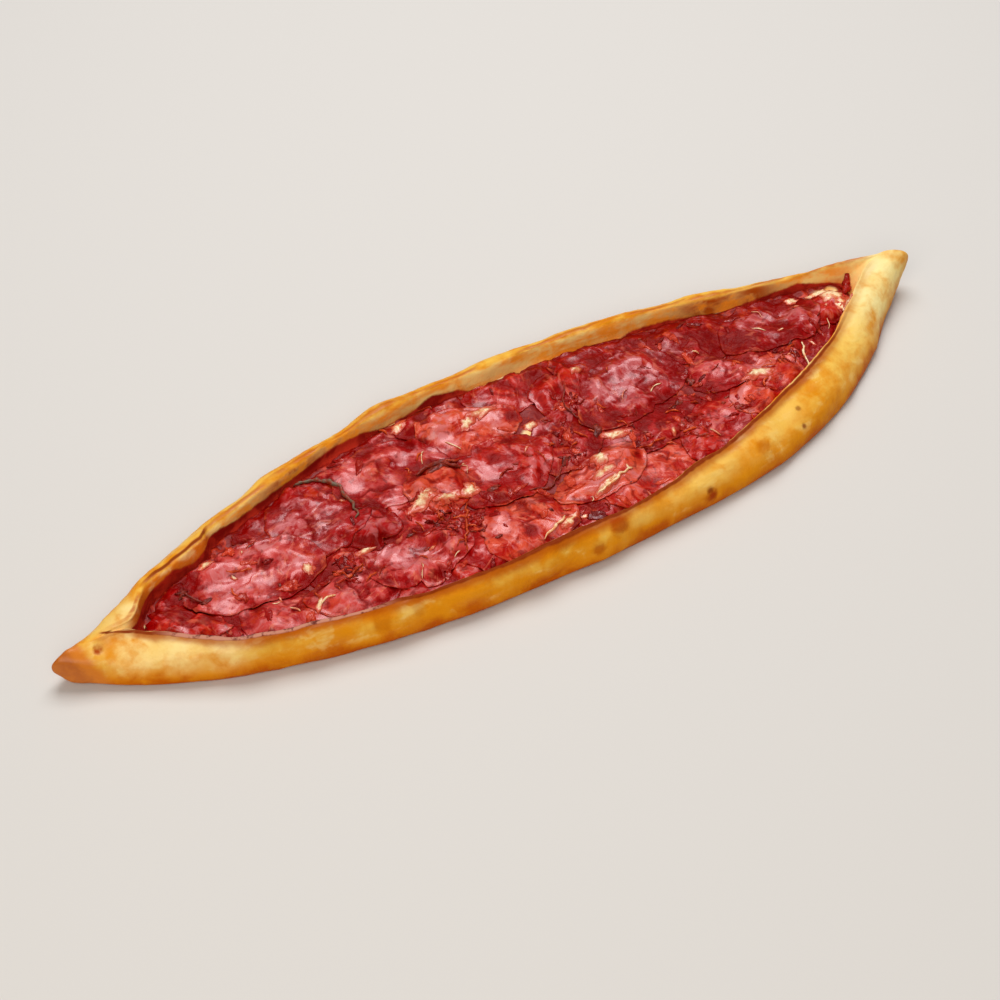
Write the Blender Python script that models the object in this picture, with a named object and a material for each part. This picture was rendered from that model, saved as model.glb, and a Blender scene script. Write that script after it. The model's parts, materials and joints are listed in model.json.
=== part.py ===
"""Turkish pide: a long boat of baked bread dough, open along its top and pinched shut at both
ends, filled with melted cheese and thin slices of cured beef that overlap like shingles.

Metres, +Z up. +X runs to the raised tip, +Y to the far rim, and the origin is on the base
plane, under the middle of the footprint. Sizes below are in millimetres.
"""

import math

import bpy
import numpy as np

MM = 0.001

# ---------------------------------------------------------------- driving dimensions
LENGTH = 450.0            # tip to tip
NEAR_REACH = 70.0         # widest point of the near side, from the line between the tips
NEAR_PEAK = 45.0          # where along the boat that is
NEAR_HALVES = ((2.6, 0.8), (2.6, 1.2))    # (power, root) of the curve left and right of it
FAR_REACH = 60.0
FAR_PEAK = -15.0
FAR_HALVES = ((1.9, 1.04), (2.0, 0.86))
NEAR_LIP = 16.5           # height of the near rim
FAR_LIP = 15.0
FLOOR = 3.4               # thickness of the dough under the filling
BED_TOP = 5.7             # top of the melted cheese in the middle
BED_WAVE = 0.5            # and the height of its swells
BED_WAVE_ALONG = 13.0     # length of a swell over one radian of turn
BED_WAVE_ACROSS = 11.0
BED_CREEP = 1.6           # how far it climbs at the far wall
BED_CREEP_REACH = 5.0
BED_LEAST = 1.4           # the cheese is never thinner than this
BED_HEADROOM = 1.0        # and starts where the rim stands this far above its thinnest part
BED_LEAST_WIDTH = 3.0
SLICE = 1.3               # thickness of a slice of beef
RIPPLE = 0.15             # half the height of the waves along a slice's edge
GAP = 0.3                 # clearance kept between pieces that lie on each other
BED_GAP = 0.35            # and between the cheese and the dough under it
SIDE_GAP = 0.5            # clearance between the filling and the inside of the rim
SLICE_SIDE_GAP = 0.2      # further clearance of the slices
END_MARGIN = 3.0          # slices stop this far before the ends of the cheese

# ends of the boat
LEFT_APEX = -188.0        # where the opening starts, and how far across
LEFT_APEX_ACROSS = -5.0
APEX_HALF = 1.5           # half the width of the opening there
APEX_SLOPE_NEAR = 0.95    # how fast each side of it opens
APEX_SLOPE_FAR = 1.6
APEX_SOFT_NEAR = 2.0      # how gently it joins the long edges
APEX_SOFT_FAR = 3.0
LEFT_TIP_ROUND = 9.0      # length over which each tip rounds off
RIGHT_TIP_ROUND = 15.0
LEFT_LIFT = 3.2           # how far each tip rises off the table
RIGHT_LIFT = 9.0
LIFT_LENGTH = 42.0
SHOULDER = 2.6            # height of the folded dough beside the opening's left end
SHOULDER_AT = -190.0
SHOULDER_REACH = 11.0
TIP_SWELL = 2.8           # the raised tip is thicker than the rim beside it
TIP_SWELL_SPAN = (165.0, 215.0)
TIP_SINK = 2.0            # and the low tip thinner
TIP_SINK_SPAN = (190.0, 222.0)
RIMS_MEET_SPAN = (165.0, 200.0)   # where the two rims come to one height

# rim
NEAR_LEAN = 9.0           # how far the rim leans in over the filling, at the left half
NEAR_LEAN_RIGHT = 23.0    # the broad flat band towards the raised tip
NEAR_LEAN_SPAN = (5.0, 125.0)     # where it widens from one to the other
FAR_LEAN = 10.0
FAR_LEAN_END = 6.0
FAR_LEAN_SPAN = (130.0, 190.0)
LIP_ROUND = 1.6           # half the thickness of the rim's edge
LIP_DROP = 0.8            # the edge turns down into the boat over this height
WALL_SLOPE = 0.7          # the inner wall leans into the boat by this much
FILLET = 0.05             # and meets the floor this far above its middle
RIM_WAVE = 0.7            # how far the hand-rolled rim wanders across
CREST_WAVE = 0.5          # and up and down
WAVES = ((0.6, 19.0, 0.6), (0.4, 9.3, 2.0))   # share, length over one radian, phase
FAR_PHASE = 70.0          # the same waves shifted along, for the far rim and for each crest
NEAR_CREST_PHASE = 30.0
FAR_CREST_PHASE = 150.0
SEAM_HALF = 0.5           # half the width of the pinched seam on the tips
SEAM_DEPTH = 0.9
SEAM_SHUT = 15.0          # rims closer than this begin to close over the floor
SEAM_NARROWS = 0.04       # on the thin tips the seam is this share of the width
SEAM_SOFT = 1.0           # how gently the rims run into the seam
SEAM_SOFT_HALF = 0.6
SEAM_SHARE_LEFT = 0.60    # the seam runs this far across each tip, from the near side
SEAM_SHARE_RIGHT = 0.74
FOOT_ROUND = 2.2          # the outer face tucks under by this much
BELLY = 1.8               # and bulges out past its foot by this much
BELLY_HEIGHT = 0.12       # the curve's pull at the belly and at the shoulder, as shares
SHOULDER_HEIGHT = 1.05
SHOULDER_IN = 0.15
FULL_WIDTH = 40.0         # narrower cuts have all these scaled down
LIFT_SHARE = 0.45         # a lifted tip thins by this share of its lift

# the far-left flap, folded in and ending in a free corner
FLAP_GROWS = (-184.0, -166.0)
FLAP_CORNER = -140.0
FLAP_FOLD = 4.5           # how much further it leans in than the rim beyond it
FLAP_RISE = 2.6
FLAP_STEP = 2.5           # length of the step at its corner

# how finely the shapes are cut
STATION_STEP = 8.4
FINE_STEP = 6.0           # beside the flap
CORNER_STEP = 3.5         # each side of the flap's corner
TIP_RINGS = 6
OUTER_POINTS = 7
BED_ACROSS = 7
GRID = 1.0                # cell of the height map that the slices settle on
SAMPLES = 6               # test points along a triangle's side while a slice settles
SETTLE_ROUNDS = 12
SPOKES = (11, 12, 15)     # points round a small, a middling and a large slice
RING_POWER = 0.85         # below 1, a slice's rings crowd towards its edge

HALF = LENGTH / 2


# ---------------------------------------------------------------- small maths
def ease(x, start, end):
    """0 before start, 1 after end, smooth between."""
    t = np.clip((np.asarray(x, float) - start) / (end - start), 0.0, 1.0)
    return t * t * (3.0 - 2.0 * t)


def soft_max(a, b, soft):
    return 0.5 * (a + b + np.sqrt((a - b) ** 2 + soft * soft))


def soft_min(a, b, soft):
    return -soft_max(-a, -b, soft)


def bezier(points, count):
    """count points along the cubic curve of four control points."""
    t = np.linspace(0.0, 1.0, count)[:, None]
    p = np.asarray(points, float)
    return (
        (1 - t) ** 3 * p[0]
        + 3 * (1 - t) ** 2 * t * p[1]
        + 3 * (1 - t) * t * t * p[2]
        + t ** 3 * p[3]
    )


# ---------------------------------------------------------------- plan of the boat
def side_curve(x, peak, left, right):
    """1 at the peak and 0 at both tips. left and right are the (power, root) of each half."""
    power, root = right if x > peak else left
    span = HALF - peak if x > peak else HALF + peak
    v = min(abs(x - peak) / span, 1.0)
    return max(1.0 - v ** power, 0.0) ** root


def waviness(x, size):
    """The hand-rolled rim is never quite even."""
    return size * sum(share * math.sin(x / length + phase) for share, length, phase in WAVES)


def near_foot(x):
    return -NEAR_REACH * side_curve(x, NEAR_PEAK, *NEAR_HALVES)


def far_foot(x):
    return FAR_REACH * side_curve(x, FAR_PEAK, *FAR_HALVES)


def flap(x):
    """1 along the folded far-left flap, 0 elsewhere."""
    rise = float(ease(x, *FLAP_GROWS))
    fall = float(ease(x, FLAP_CORNER - FLAP_STEP, FLAP_CORNER))
    return rise * (1.0 - fall)


def lips(x):
    """(near, far) inner edges of the rim. Past the opening's ends they close to a seam."""
    foot_n = near_foot(x)
    foot_f = far_foot(x)
    width = foot_f - foot_n
    from_apex = x - LEFT_APEX
    lean_n = NEAR_LEAN + (NEAR_LEAN_RIGHT - NEAR_LEAN) * float(ease(x, *NEAR_LEAN_SPAN))
    near = foot_n + lean_n + waviness(x, RIM_WAVE)
    near_apex = LEFT_APEX_ACROSS - APEX_HALF - APEX_SLOPE_NEAR * from_apex
    near = soft_max(near, near_apex, APEX_SOFT_NEAR)
    ends = 1.0 - float(ease(abs(x), *FAR_LEAN_SPAN))
    far = foot_f - FAR_LEAN_END - (FAR_LEAN - FAR_LEAN_END) * ends
    far += waviness(x + FAR_PHASE, RIM_WAVE) - FLAP_FOLD * flap(x)
    far_apex = LEFT_APEX_ACROSS + APEX_HALF + APEX_SLOPE_FAR * from_apex
    far = soft_min(far, far_apex, APEX_SOFT_FAR)
    share = SEAM_SHARE_RIGHT if x > 0 else SEAM_SHARE_LEFT
    near = soft_min(near, foot_n + share * width, SEAM_SOFT)
    closed = min(SEAM_HALF, SEAM_NARROWS * width)
    half = soft_max(0.5 * (far - near), closed, SEAM_SOFT_HALF)
    return near, near + 2.0 * half


def tip_round(x):
    """1 along the body, falling to 0 at the very tip like the end of an egg."""
    length = RIGHT_TIP_ROUND if x > 0 else LEFT_TIP_ROUND
    t = min((HALF - abs(x)) / length, 1.0)
    return math.sqrt(max(1.0 - (1.0 - t) ** 2, 0.0))


def heights(x):
    """(underside, near rim, far rim, floor) of the dough."""
    lift = RIGHT_LIFT if x > 0 else LEFT_LIFT
    s = max(abs(x) - (HALF - LIFT_LENGTH), 0.0) / LIFT_LENGTH
    under = lift * s ** 2
    swell = TIP_SWELL * float(ease(x, *TIP_SWELL_SPAN)) - TIP_SINK * float(ease(-x, *TIP_SINK_SPAN))
    shoulder = SHOULDER * math.exp(-(((x - SHOULDER_AT) / SHOULDER_REACH) ** 2))
    near = NEAR_LIP + swell + waviness(x + NEAR_CREST_PHASE, CREST_WAVE)
    far = FAR_LIP + swell + waviness(x + FAR_CREST_PHASE, CREST_WAVE) + FLAP_RISE * flap(x)
    far += (NEAR_LIP - FAR_LIP) * float(ease(abs(x), *RIMS_MEET_SPAN)) + shoulder
    near_in, far_in = lips(x)
    shut = 1.0 - float(ease(far_in - near_in, 2.5 * SEAM_HALF, SEAM_SHUT))
    middle = LIFT_SHARE * under
    size = tip_round(x)
    thick_n = size * (near - middle)
    thick_f = size * (far - middle)
    under += (1.0 - size) * 0.5 * (near - middle)
    near = under + thick_n
    far = under + thick_f
    top = min(near, far) - SEAM_DEPTH
    floor = FLOOR + (top - FLOOR) * shut
    return under, near, far, floor


def section(x):
    """The dough's cross-section at x: (across, up) points, anticlockwise seen from the tip."""
    foot_n = near_foot(x)
    foot_f = far_foot(x)
    in_n, in_f = lips(x)
    under, top_n, top_f, floor = heights(x)
    width = foot_f - foot_n
    scale = min(1.0, width / FULL_WIDTH)
    half = 0.5 * (in_f - in_n)
    round_n = min(LIP_ROUND, 0.9 * half + 0.2) * scale
    edge = min(WALL_SLOPE, 0.5 * half)

    def outer(foot, inward, lip, top):
        """Foot, belly, shoulder and rim of one side; inward is +1 on the near side."""
        up = top - under
        lean = abs(lip - foot)
        controls = (
            (foot + inward * FOOT_ROUND * scale, under),
            (foot - inward * BELLY * scale, under + BELLY_HEIGHT * up),
            (foot + inward * SHOULDER_IN * lean, under + SHOULDER_HEIGHT * up),
            (lip - inward * round_n, top),
        )
        return bezier(controls, OUTER_POINTS)

    near_wall = outer(foot_n, 1.0, in_n, top_n)
    far_wall = outer(foot_f, -1.0, in_f, top_f)[::-1]
    drop_n = min(LIP_DROP, 0.6 * (top_n - floor))
    drop_f = min(LIP_DROP, 0.6 * (top_f - floor))
    inside = [
        (in_n, top_n - drop_n),
        (in_n + edge, 0.5 * (top_n + floor)),
        (in_n + edge, floor + FILLET),
        (0.5 * (in_n + in_f), floor),
        (in_f - edge, floor + FILLET),
        (in_f - edge, 0.5 * (top_f + floor)),
        (in_f, top_f - drop_f),
    ]
    base_n = near_wall[0][0]
    base_f = far_wall[-1][0]
    base = [(base_n + (base_f - base_n) * t, under) for t in (0.75, 0.5, 0.25)]
    return np.vstack([near_wall, inside, far_wall, base])


def stations():
    """Where the boat is cut: close together on the tips and at the flap's corner."""
    left_tip = -HALF + LEFT_TIP_ROUND
    right_tip = HALF - RIGHT_TIP_ROUND
    angles = np.linspace(0.0, math.pi / 2, TIP_RINGS + 2)[1:-1]
    cuts = [-HALF + LEFT_TIP_ROUND * (1.0 - math.cos(a)) for a in angles]
    corner = [FLAP_CORNER - FLAP_STEP, FLAP_CORNER]
    corner = [corner[0] - CORNER_STEP, *corner, corner[1] + CORNER_STEP]
    count = int((corner[0] - left_tip) / FINE_STEP)
    cuts += list(np.linspace(left_tip, corner[0], count, endpoint=False))
    cuts += corner
    count = int((right_tip - corner[-1]) / STATION_STEP)
    cuts += list(np.linspace(corner[-1], right_tip, count + 1))[1:]
    cuts += [HALF - RIGHT_TIP_ROUND * (1.0 - math.cos(a)) for a in angles[::-1]]
    return cuts


# ---------------------------------------------------------------- meshes
def loft(name, xs, rings, ends):
    """A closed skin over rings of equal length, shut by a fan at each end point."""
    points = [(x, y, z) for x, ring in zip(xs, rings) for y, z in ring]
    size = len(rings[0])
    faces = []
    for i in range(len(rings) - 1):
        for j in range(size):
            a = i * size + j
            b = i * size + (j + 1) % size
            faces.append((a, a + size, b + size))
            faces.append((a, b + size, b))
    first = len(points)
    points += [ends[0], ends[1]]
    last_ring = (len(rings) - 1) * size
    for j in range(size):
        k = (j + 1) % size
        faces.append((first, j, k))
        faces.append((first + 1, last_ring + k, last_ring + j))
    return make_object(name, points, faces)


def footprint_middle(cuts):
    """How far across the middle of the crust lies from the line between the tips."""
    across = np.concatenate([section(x)[:, 0] for x in cuts])
    return 0.5 * (across.min() + across.max())


def make_object(name, points, faces):
    """The piece in metres, with the origin moved under the middle of the footprint."""
    placed = [(x * MM, (y - MIDDLE) * MM, z * MM) for x, y, z in points]
    mesh = bpy.data.meshes.new(name)
    mesh.from_pydata(placed, [], faces)
    mesh.update()
    mesh.shade_smooth()
    mesh.set_sharp_from_angle(angle=math.radians(50.0))
    piece = bpy.data.objects.new(name, mesh)
    bpy.context.scene.collection.objects.link(piece)
    return piece


def paint(piece, colour, roughness):
    """Each piece has its own plain material."""
    material = bpy.data.materials.new(piece.name)
    material.use_nodes = True
    shader = material.node_tree.nodes["Principled BSDF"]
    shader.inputs["Base Color"].default_value = (*colour, 1.0)
    shader.inputs["Roughness"].default_value = roughness
    shader.inputs["Metallic"].default_value = 0.0
    piece.data.materials.append(material)


# ---------------------------------------------------------------- crust
DOUGH_COLOUR = (0.72, 0.38, 0.09)
CUTS = stations()
MIDDLE = footprint_middle(CUTS)


def build_crust(cuts):
    rings = [section(x) for x in cuts]
    ends = []
    for x, ring in ((-HALF, rings[0]), (HALF, rings[-1])):
        across, up = ring.mean(axis=0)
        ends.append((x, across, up))
    crust = loft("crust", cuts, rings, ends)
    paint(crust, DOUGH_COLOUR, 0.4)


# ---------------------------------------------------------------- melted cheese
CHEESE_COLOUR = (0.85, 0.62, 0.30)
CHEESE_LUMPS = (           # along, across, reach, height: where cheese shows between slices
    (183.0, 6.0, 9.0, 2.6),
    (186.0, -4.0, 8.0, 2.4),
    (-160.0, 19.0, 9.0, 2.8),
    (-148.0, 15.0, 6.0, 2.2),
    (118.0, 27.0, 8.0, 2.0),
    (-38.0, 44.0, 9.0, 2.0),
    (12.0, 43.0, 9.0, 1.6),
)


def filling_limits(x):
    """(near, far) sides of the space for the filling."""
    in_n, in_f = lips(x)
    edge = min(WALL_SLOPE, 0.25 * (in_f - in_n))
    return in_n + edge + SIDE_GAP, in_f - edge - SIDE_GAP


def bed_height(x, y):
    """Top of the cheese: nearly level, wavy, and creeping up the far side."""
    near, far = filling_limits(x)
    floor = heights(x)[3]
    z = BED_TOP + BED_WAVE * math.sin(x / BED_WAVE_ALONG) * math.cos(y / BED_WAVE_ACROSS)
    z += BED_CREEP * math.exp(-((far - y) / BED_CREEP_REACH) ** 2)
    for along, across, reach, rise in CHEESE_LUMPS:
        away = math.hypot(x - along, y - across) / reach
        z += rise * math.exp(-away * away)
    return max(z, floor + BED_LEAST)


def build_cheese(cuts):
    open_cuts = []
    for x in cuts:
        near, far = filling_limits(x)
        roof = min(heights(x)[1:3])
        if far - near > BED_LEAST_WIDTH and heights(x)[3] + BED_LEAST + BED_HEADROOM < roof:
            open_cuts.append(x)
    rings = []
    for x in open_cuts:
        near, far = filling_limits(x)
        floor = heights(x)[3] + BED_GAP
        shares = 0.5 - 0.5 * np.cos(np.linspace(0.0, math.pi, BED_ACROSS))
        top = [(y, bed_height(x, y)) for y in near + (far - near) * shares]
        base = [(far, floor), (0.5 * (near + far), floor), (near, floor)]
        rings.append(np.array(top + base))
    ends = []
    for x, ring in ((open_cuts[0], rings[0]), (open_cuts[-1], rings[-1])):
        across, up = ring.mean(axis=0)
        ends.append((x, across, up))
    cheese = loft("cheese_bed", open_cuts, rings, ends)
    paint(cheese, CHEESE_COLOUR, 0.35)
    return open_cuts, [ring[:BED_ACROSS] for ring in rings]


# ---------------------------------------------------------------- slices of beef
# along, across, half length, half width, turn in degrees, curl of the edge, side that curls, tone
# They are laid in this order, so each one rests on those before it.
SLICES = (
    (-171.0, 4.0, 12.0, 8.0, 35.0, 0.4, 90.0, "deep"),
    (-150.0, -19.0, 18.0, 10.0, -38.0, 0.0, 0.0, "deep"),
    (-117.0, 20.0, 28.0, 12.0, 12.0, 0.6, 90.0, "deep"),
    (-62.0, 37.0, 30.0, 11.0, 6.0, 0.9, 90.0, "deep"),
    (-18.0, 40.0, 19.0, 9.0, 0.0, 1.2, 90.0, "deep"),
    (24.0, 37.0, 24.0, 11.0, -4.0, 0.8, 90.0, "red"),
    (74.0, 31.0, 30.0, 11.0, -10.0, 0.9, 90.0, "deep"),
    (112.0, 18.0, 21.0, 14.0, -22.0, 0.6, 90.0, "deep"),
    (131.0, -8.0, 20.0, 12.0, 8.0, 0.0, 0.0, "deep"),
    (-96.0, -12.0, 20.0, 13.0, 0.0, 0.0, 0.0, "red"),
    (-62.0, -4.0, 18.0, 13.0, 0.0, 0.0, 0.0, "red"),
    (-102.0, -39.0, 24.0, 10.0, -14.0, 0.0, 0.0, "red"),
    (-66.0, -44.0, 25.0, 10.0, -4.0, 0.0, 0.0, "red"),
    (-42.0, -34.0, 15.0, 18.0, 0.0, 0.0, 0.0, "red"),
    (5.0, -45.0, 23.0, 12.0, 0.0, 0.3, 270.0, "deep"),
    (44.0, -42.0, 25.0, 13.0, 5.0, 0.3, 270.0, "salmon"),
    (59.0, -18.0, 29.0, 12.0, 4.0, 0.2, 270.0, "deep"),
    (90.0, -34.0, 28.0, 14.0, 14.0, 0.4, 270.0, "red"),
    (156.0, -15.0, 22.0, 10.0, 28.0, 0.3, 300.0, "deep"),
    (174.0, 1.0, 13.0, 9.0, 10.0, 0.4, 0.0, "red"),
    (-168.0, -8.0, 17.0, 7.0, -42.0, 0.9, 20.0, "red"),
    (-130.0, -27.0, 21.0, 11.0, -24.0, 0.4, 250.0, "pink"),
    (-103.0, -31.0, 18.0, 11.0, -12.0, 0.3, 260.0, "pink"),
    (-68.0, -29.0, 22.0, 15.0, 8.0, 0.8, 190.0, "pink"),
    (-20.0, -37.0, 21.0, 17.0, 5.0, 0.9, 180.0, "salmon"),
    (24.0, -31.0, 24.0, 11.0, 5.0, 0.4, 0.0, "salmon"),
    (120.0, -26.0, 22.0, 12.0, 22.0, 0.5, 0.0, "salmon"),
    (-10.0, 25.0, 23.0, 14.0, -5.0, 0.3, 90.0, "salmon"),
    (41.0, 22.0, 15.0, 13.0, 20.0, 0.8, 230.0, "red"),
    (-54.0, 19.0, 27.0, 17.0, -8.0, 0.3, 90.0, "pink"),
    (106.0, -7.0, 14.0, 10.0, -5.0, 0.8, 300.0, "pink"),
    (-79.0, -2.0, 12.0, 10.0, 0.0, 0.8, 0.0, "deep"),
    (23.0, -5.0, 18.0, 15.0, 30.0, 1.0, 160.0, "deep"),
    (-12.0, -4.0, 23.0, 19.0, -10.0, 1.0, 60.0, "red"),
    (-41.0, 1.0, 14.0, 12.0, 20.0, 1.4, 50.0, "salmon"),
    (-96.0, 13.0, 20.0, 18.0, -10.0, 1.4, 10.0, "deep"),
    (-133.0, 1.0, 28.0, 18.0, -8.0, 1.0, 170.0, "pink"),
    (67.0, 8.0, 29.0, 18.0, 5.0, 1.0, 90.0, "deep"),
    (147.0, 7.0, 27.0, 15.0, 3.0, 0.8, 270.0, "deep"),
)
TONES = {
    "deep": (0.26, 0.012, 0.010),
    "red": (0.42, 0.022, 0.014),
    "salmon": (0.58, 0.085, 0.045),
    "pink": (0.60, 0.13, 0.13),
}
SMALL_SLICE = 14.5        # below this half length a slice needs fewer faces
LARGE_SLICE = 25.5        # and above this one more
OUTLINE_WAVES = ((2, 0.06), (3, 0.05), (5, 0.03))
GOLDEN_TURN = 2.39996
SLIVER = 1e-6             # a triangle with less area covers nothing
SLACK = 0.9               # how far beyond a triangle its height still counts, in cells


class HeightMap:
    """The top of what has been laid so far, on a square grid of cells."""

    def __init__(self, low, high):
        self.x = np.arange(low[0], high[0], GRID)
        self.y = np.arange(low[1], high[1], GRID)
        self.z = np.full((len(self.x), len(self.y)), -1.0)

    def above(self, px, py):
        """The highest of the four cells round each point."""
        i = np.clip(((px - self.x[0]) / GRID).astype(int), 0, len(self.x) - 2)
        j = np.clip(((py - self.y[0]) / GRID).astype(int), 0, len(self.y) - 2)
        z = self.z
        low = np.maximum(z[i, j], z[i + 1, j])
        return np.maximum(low, np.maximum(z[i, j + 1], z[i + 1, j + 1]))

    def cover(self, corners):
        """Raises the cells under one triangle, and those within a cell of it, to its height."""
        low = corners[:, :2].min(axis=0) - GRID
        high = corners[:, :2].max(axis=0) + GRID
        i = np.flatnonzero((self.x >= low[0]) & (self.x <= high[0]))
        j = np.flatnonzero((self.y >= low[1]) & (self.y <= high[1]))
        gx, gy = np.meshgrid(self.x[i], self.y[j], indexing="ij")
        a, b, c = corners
        area = (b[0] - a[0]) * (c[1] - a[1]) - (b[1] - a[1]) * (c[0] - a[0])
        if abs(area) < SLIVER:
            return
        u = ((b[0] - gx) * (c[1] - gy) - (b[1] - gy) * (c[0] - gx)) / area
        v = ((c[0] - gx) * (a[1] - gy) - (c[1] - gy) * (a[0] - gx)) / area
        w = 1.0 - u - v
        longest = max(np.linalg.norm(a - b), np.linalg.norm(b - c), np.linalg.norm(c - a))
        slack = SLACK * GRID * longest / abs(area)
        inside = (u > -slack) & (v > -slack) & (w > -slack)
        heights_here = np.clip(u * a[2] + v * b[2] + w * c[2], corners[:, 2].min(), corners[:, 2].max())
        patch = self.z[np.ix_(i, j)]
        patch[inside] = np.maximum(patch[inside], heights_here[inside])
        self.z[np.ix_(i, j)] = patch


def slice_disc(index, spec):
    """Plan points and top faces of one slice: a centre and rings out to a wavy oval edge."""
    along, across, half_long, half_wide, turn = spec[:5]
    size = max(half_long, half_wide)
    rings = 2 if size < SMALL_SLICE else (3 if size < LARGE_SLICE else 4)
    count = SPOKES[rings - 2]
    angle = math.radians(turn)
    plan = [(along, across)]
    reach = [0.0]
    bearing = [0.0]
    for r in range(1, rings + 1):
        share = (r / rings) ** RING_POWER
        for k in range(count):
            theta = 2.0 * math.pi * (k + 0.5 * (r % 2)) / count
            wave = 1.0
            for order, depth in OUTLINE_WAVES:
                wave += depth * share * math.sin(order * theta + GOLDEN_TURN * index * order)
            u = half_long * share * wave * math.cos(theta)
            v = half_wide * share * wave * math.sin(theta)
            x = along + u * math.cos(angle) - v * math.sin(angle)
            y = across + u * math.sin(angle) + v * math.cos(angle)
            plan.append((x, y))
            reach.append(share)
            bearing.append(theta + angle)
    faces = [(0, 1 + k, 1 + (k + 1) % count) for k in range(count)]
    for r in range(1, rings):
        inner = 1 + (r - 1) * count
        outer = inner + count
        for k in range(count):
            n = (k + 1) % count
            if r % 2:
                faces.append((inner + k, outer + k, outer + n))
                faces.append((inner + k, outer + n, inner + n))
            else:
                faces.append((inner + k, outer + k, inner + n))
                faces.append((outer + k, outer + n, inner + n))
    return np.array(plan), np.array(faces), np.array(reach), np.array(bearing), count


def keep_inside(plan, low, high):
    """Edges that would run into the dough stop just short of it."""
    kept = plan.copy()
    kept[:, 0] = np.clip(kept[:, 0], low, high)
    for n, (x, y) in enumerate(kept):
        near, far = filling_limits(x)
        kept[n, 1] = np.clip(y, near + SLICE_SIDE_GAP, far - SLICE_SIDE_GAP)
    return kept


def settle(plan, faces, ground, wanted):
    """Underside heights: as low as wanted allows, but nowhere into what lies below."""
    steps = [(i, j) for i in range(SAMPLES + 1) for j in range(SAMPLES + 1 - i)]
    weights = np.array([(i, j, SAMPLES - i - j) for i, j in steps], float) / SAMPLES
    px = plan[faces][:, :, 0] @ weights.T
    py = plan[faces][:, :, 1] @ weights.T
    need = ground.above(px, py) + GAP
    z = ground.above(plan[:, 0], plan[:, 1]) + GAP
    for _ in range(SETTLE_ROUNDS):
        short = need - z[faces] @ weights.T
        push = np.clip(short, 0.0, None)[:, :, None] * weights[None]
        push /= (weights ** 2).sum(axis=1)[None, :, None]
        rise = np.zeros(len(z))
        np.maximum.at(rise, faces, push.max(axis=1))
        z += rise
    short = np.clip((need - z[faces] @ weights.T).max(axis=1), 0.0, None)
    rise = np.zeros(len(z))
    for corner in range(3):
        np.maximum.at(rise, faces[:, corner], short)
    return z + rise + wanted


def build_slice(index, spec, ground, low, high):
    plan, faces, reach, bearing, count = slice_disc(index, spec)
    plan = keep_inside(plan, low, high)
    curl, side = spec[5], math.radians(spec[6])
    lift = curl * reach ** 3 * np.clip(np.cos(bearing - side), 0.0, None)
    lift += RIPPLE * reach ** 2 * (1.0 + np.sin(3.0 * bearing + index))
    under = settle(plan, faces, ground, lift)
    over = under + SLICE
    for face in faces:
        ground.cover(np.column_stack([plan[face], over[face]]))
    top = [(x, y, z) for (x, y), z in zip(plan, over)]
    base = [(x, y, z) for (x, y), z in zip(plan, under)]
    total = len(plan)
    skin = [tuple(int(i) for i in face) for face in faces]
    skin += [tuple(int(i) + total for i in face[::-1]) for face in faces]
    rim = total - count
    for k in range(count):
        a = rim + k
        b = rim + (k + 1) % count
        skin.append((b, a, a + total, b + total))
    piece = make_object(f"slice_{index:02d}", top + base, skin)
    paint(piece, TONES[spec[7]], 0.3)


def build_slices(open_cuts, bed_tops):
    """Lays the slices one after another on the cheese and on those already there."""
    ground = HeightMap((-HALF, -NEAR_REACH), (HALF, FAR_REACH))
    rows = [np.column_stack([np.full(len(top), x), top]) for x, top in zip(open_cuts, bed_tops)]
    for here, after in zip(rows, rows[1:]):
        for k in range(BED_ACROSS - 1):
            ground.cover(np.array([here[k], after[k], after[k + 1]]))
            ground.cover(np.array([here[k], after[k + 1], here[k + 1]]))
    low = open_cuts[0] + END_MARGIN
    high = open_cuts[-1] - END_MARGIN
    for index, spec in enumerate(SLICES, start=1):
        build_slice(index, spec, ground, low, high)


def main():
    for old in list(bpy.data.objects):
        bpy.data.objects.remove(old, do_unlink=True)
    build_crust(CUTS)
    open_cuts, bed_tops = build_cheese(CUTS)
    build_slices(open_cuts, bed_tops)


main()
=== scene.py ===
# %% [markdown]
# # Dressing a turkish pide
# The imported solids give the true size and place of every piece: a boat of bread dough, a bed
# of melted cheese and 39 thin slices of cured beef. This lesson gives them the look of food
# that has just left the oven. Everything works in the solids' own frame, so no piece is
# fitted by eye: each new mesh starts from the solid that it stands for.

# %% Load the frame
import json
import math

import bmesh
import bpy
import numpy as np
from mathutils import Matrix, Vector
from mathutils.bvhtree import BVHTree


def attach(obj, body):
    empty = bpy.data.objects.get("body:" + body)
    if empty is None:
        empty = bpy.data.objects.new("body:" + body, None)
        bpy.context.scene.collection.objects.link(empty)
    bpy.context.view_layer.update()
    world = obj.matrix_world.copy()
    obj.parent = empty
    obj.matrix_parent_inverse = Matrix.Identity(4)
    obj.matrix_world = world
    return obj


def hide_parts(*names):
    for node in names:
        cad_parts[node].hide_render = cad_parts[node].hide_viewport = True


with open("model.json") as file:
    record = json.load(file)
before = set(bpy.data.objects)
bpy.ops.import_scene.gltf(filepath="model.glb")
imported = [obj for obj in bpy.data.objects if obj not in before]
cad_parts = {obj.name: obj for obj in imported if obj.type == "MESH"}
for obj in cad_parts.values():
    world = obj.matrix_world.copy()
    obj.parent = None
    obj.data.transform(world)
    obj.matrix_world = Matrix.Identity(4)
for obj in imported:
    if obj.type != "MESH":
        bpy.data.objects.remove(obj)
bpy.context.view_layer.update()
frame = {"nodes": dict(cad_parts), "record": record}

MM = 0.001
NODES = frame["nodes"]

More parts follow.
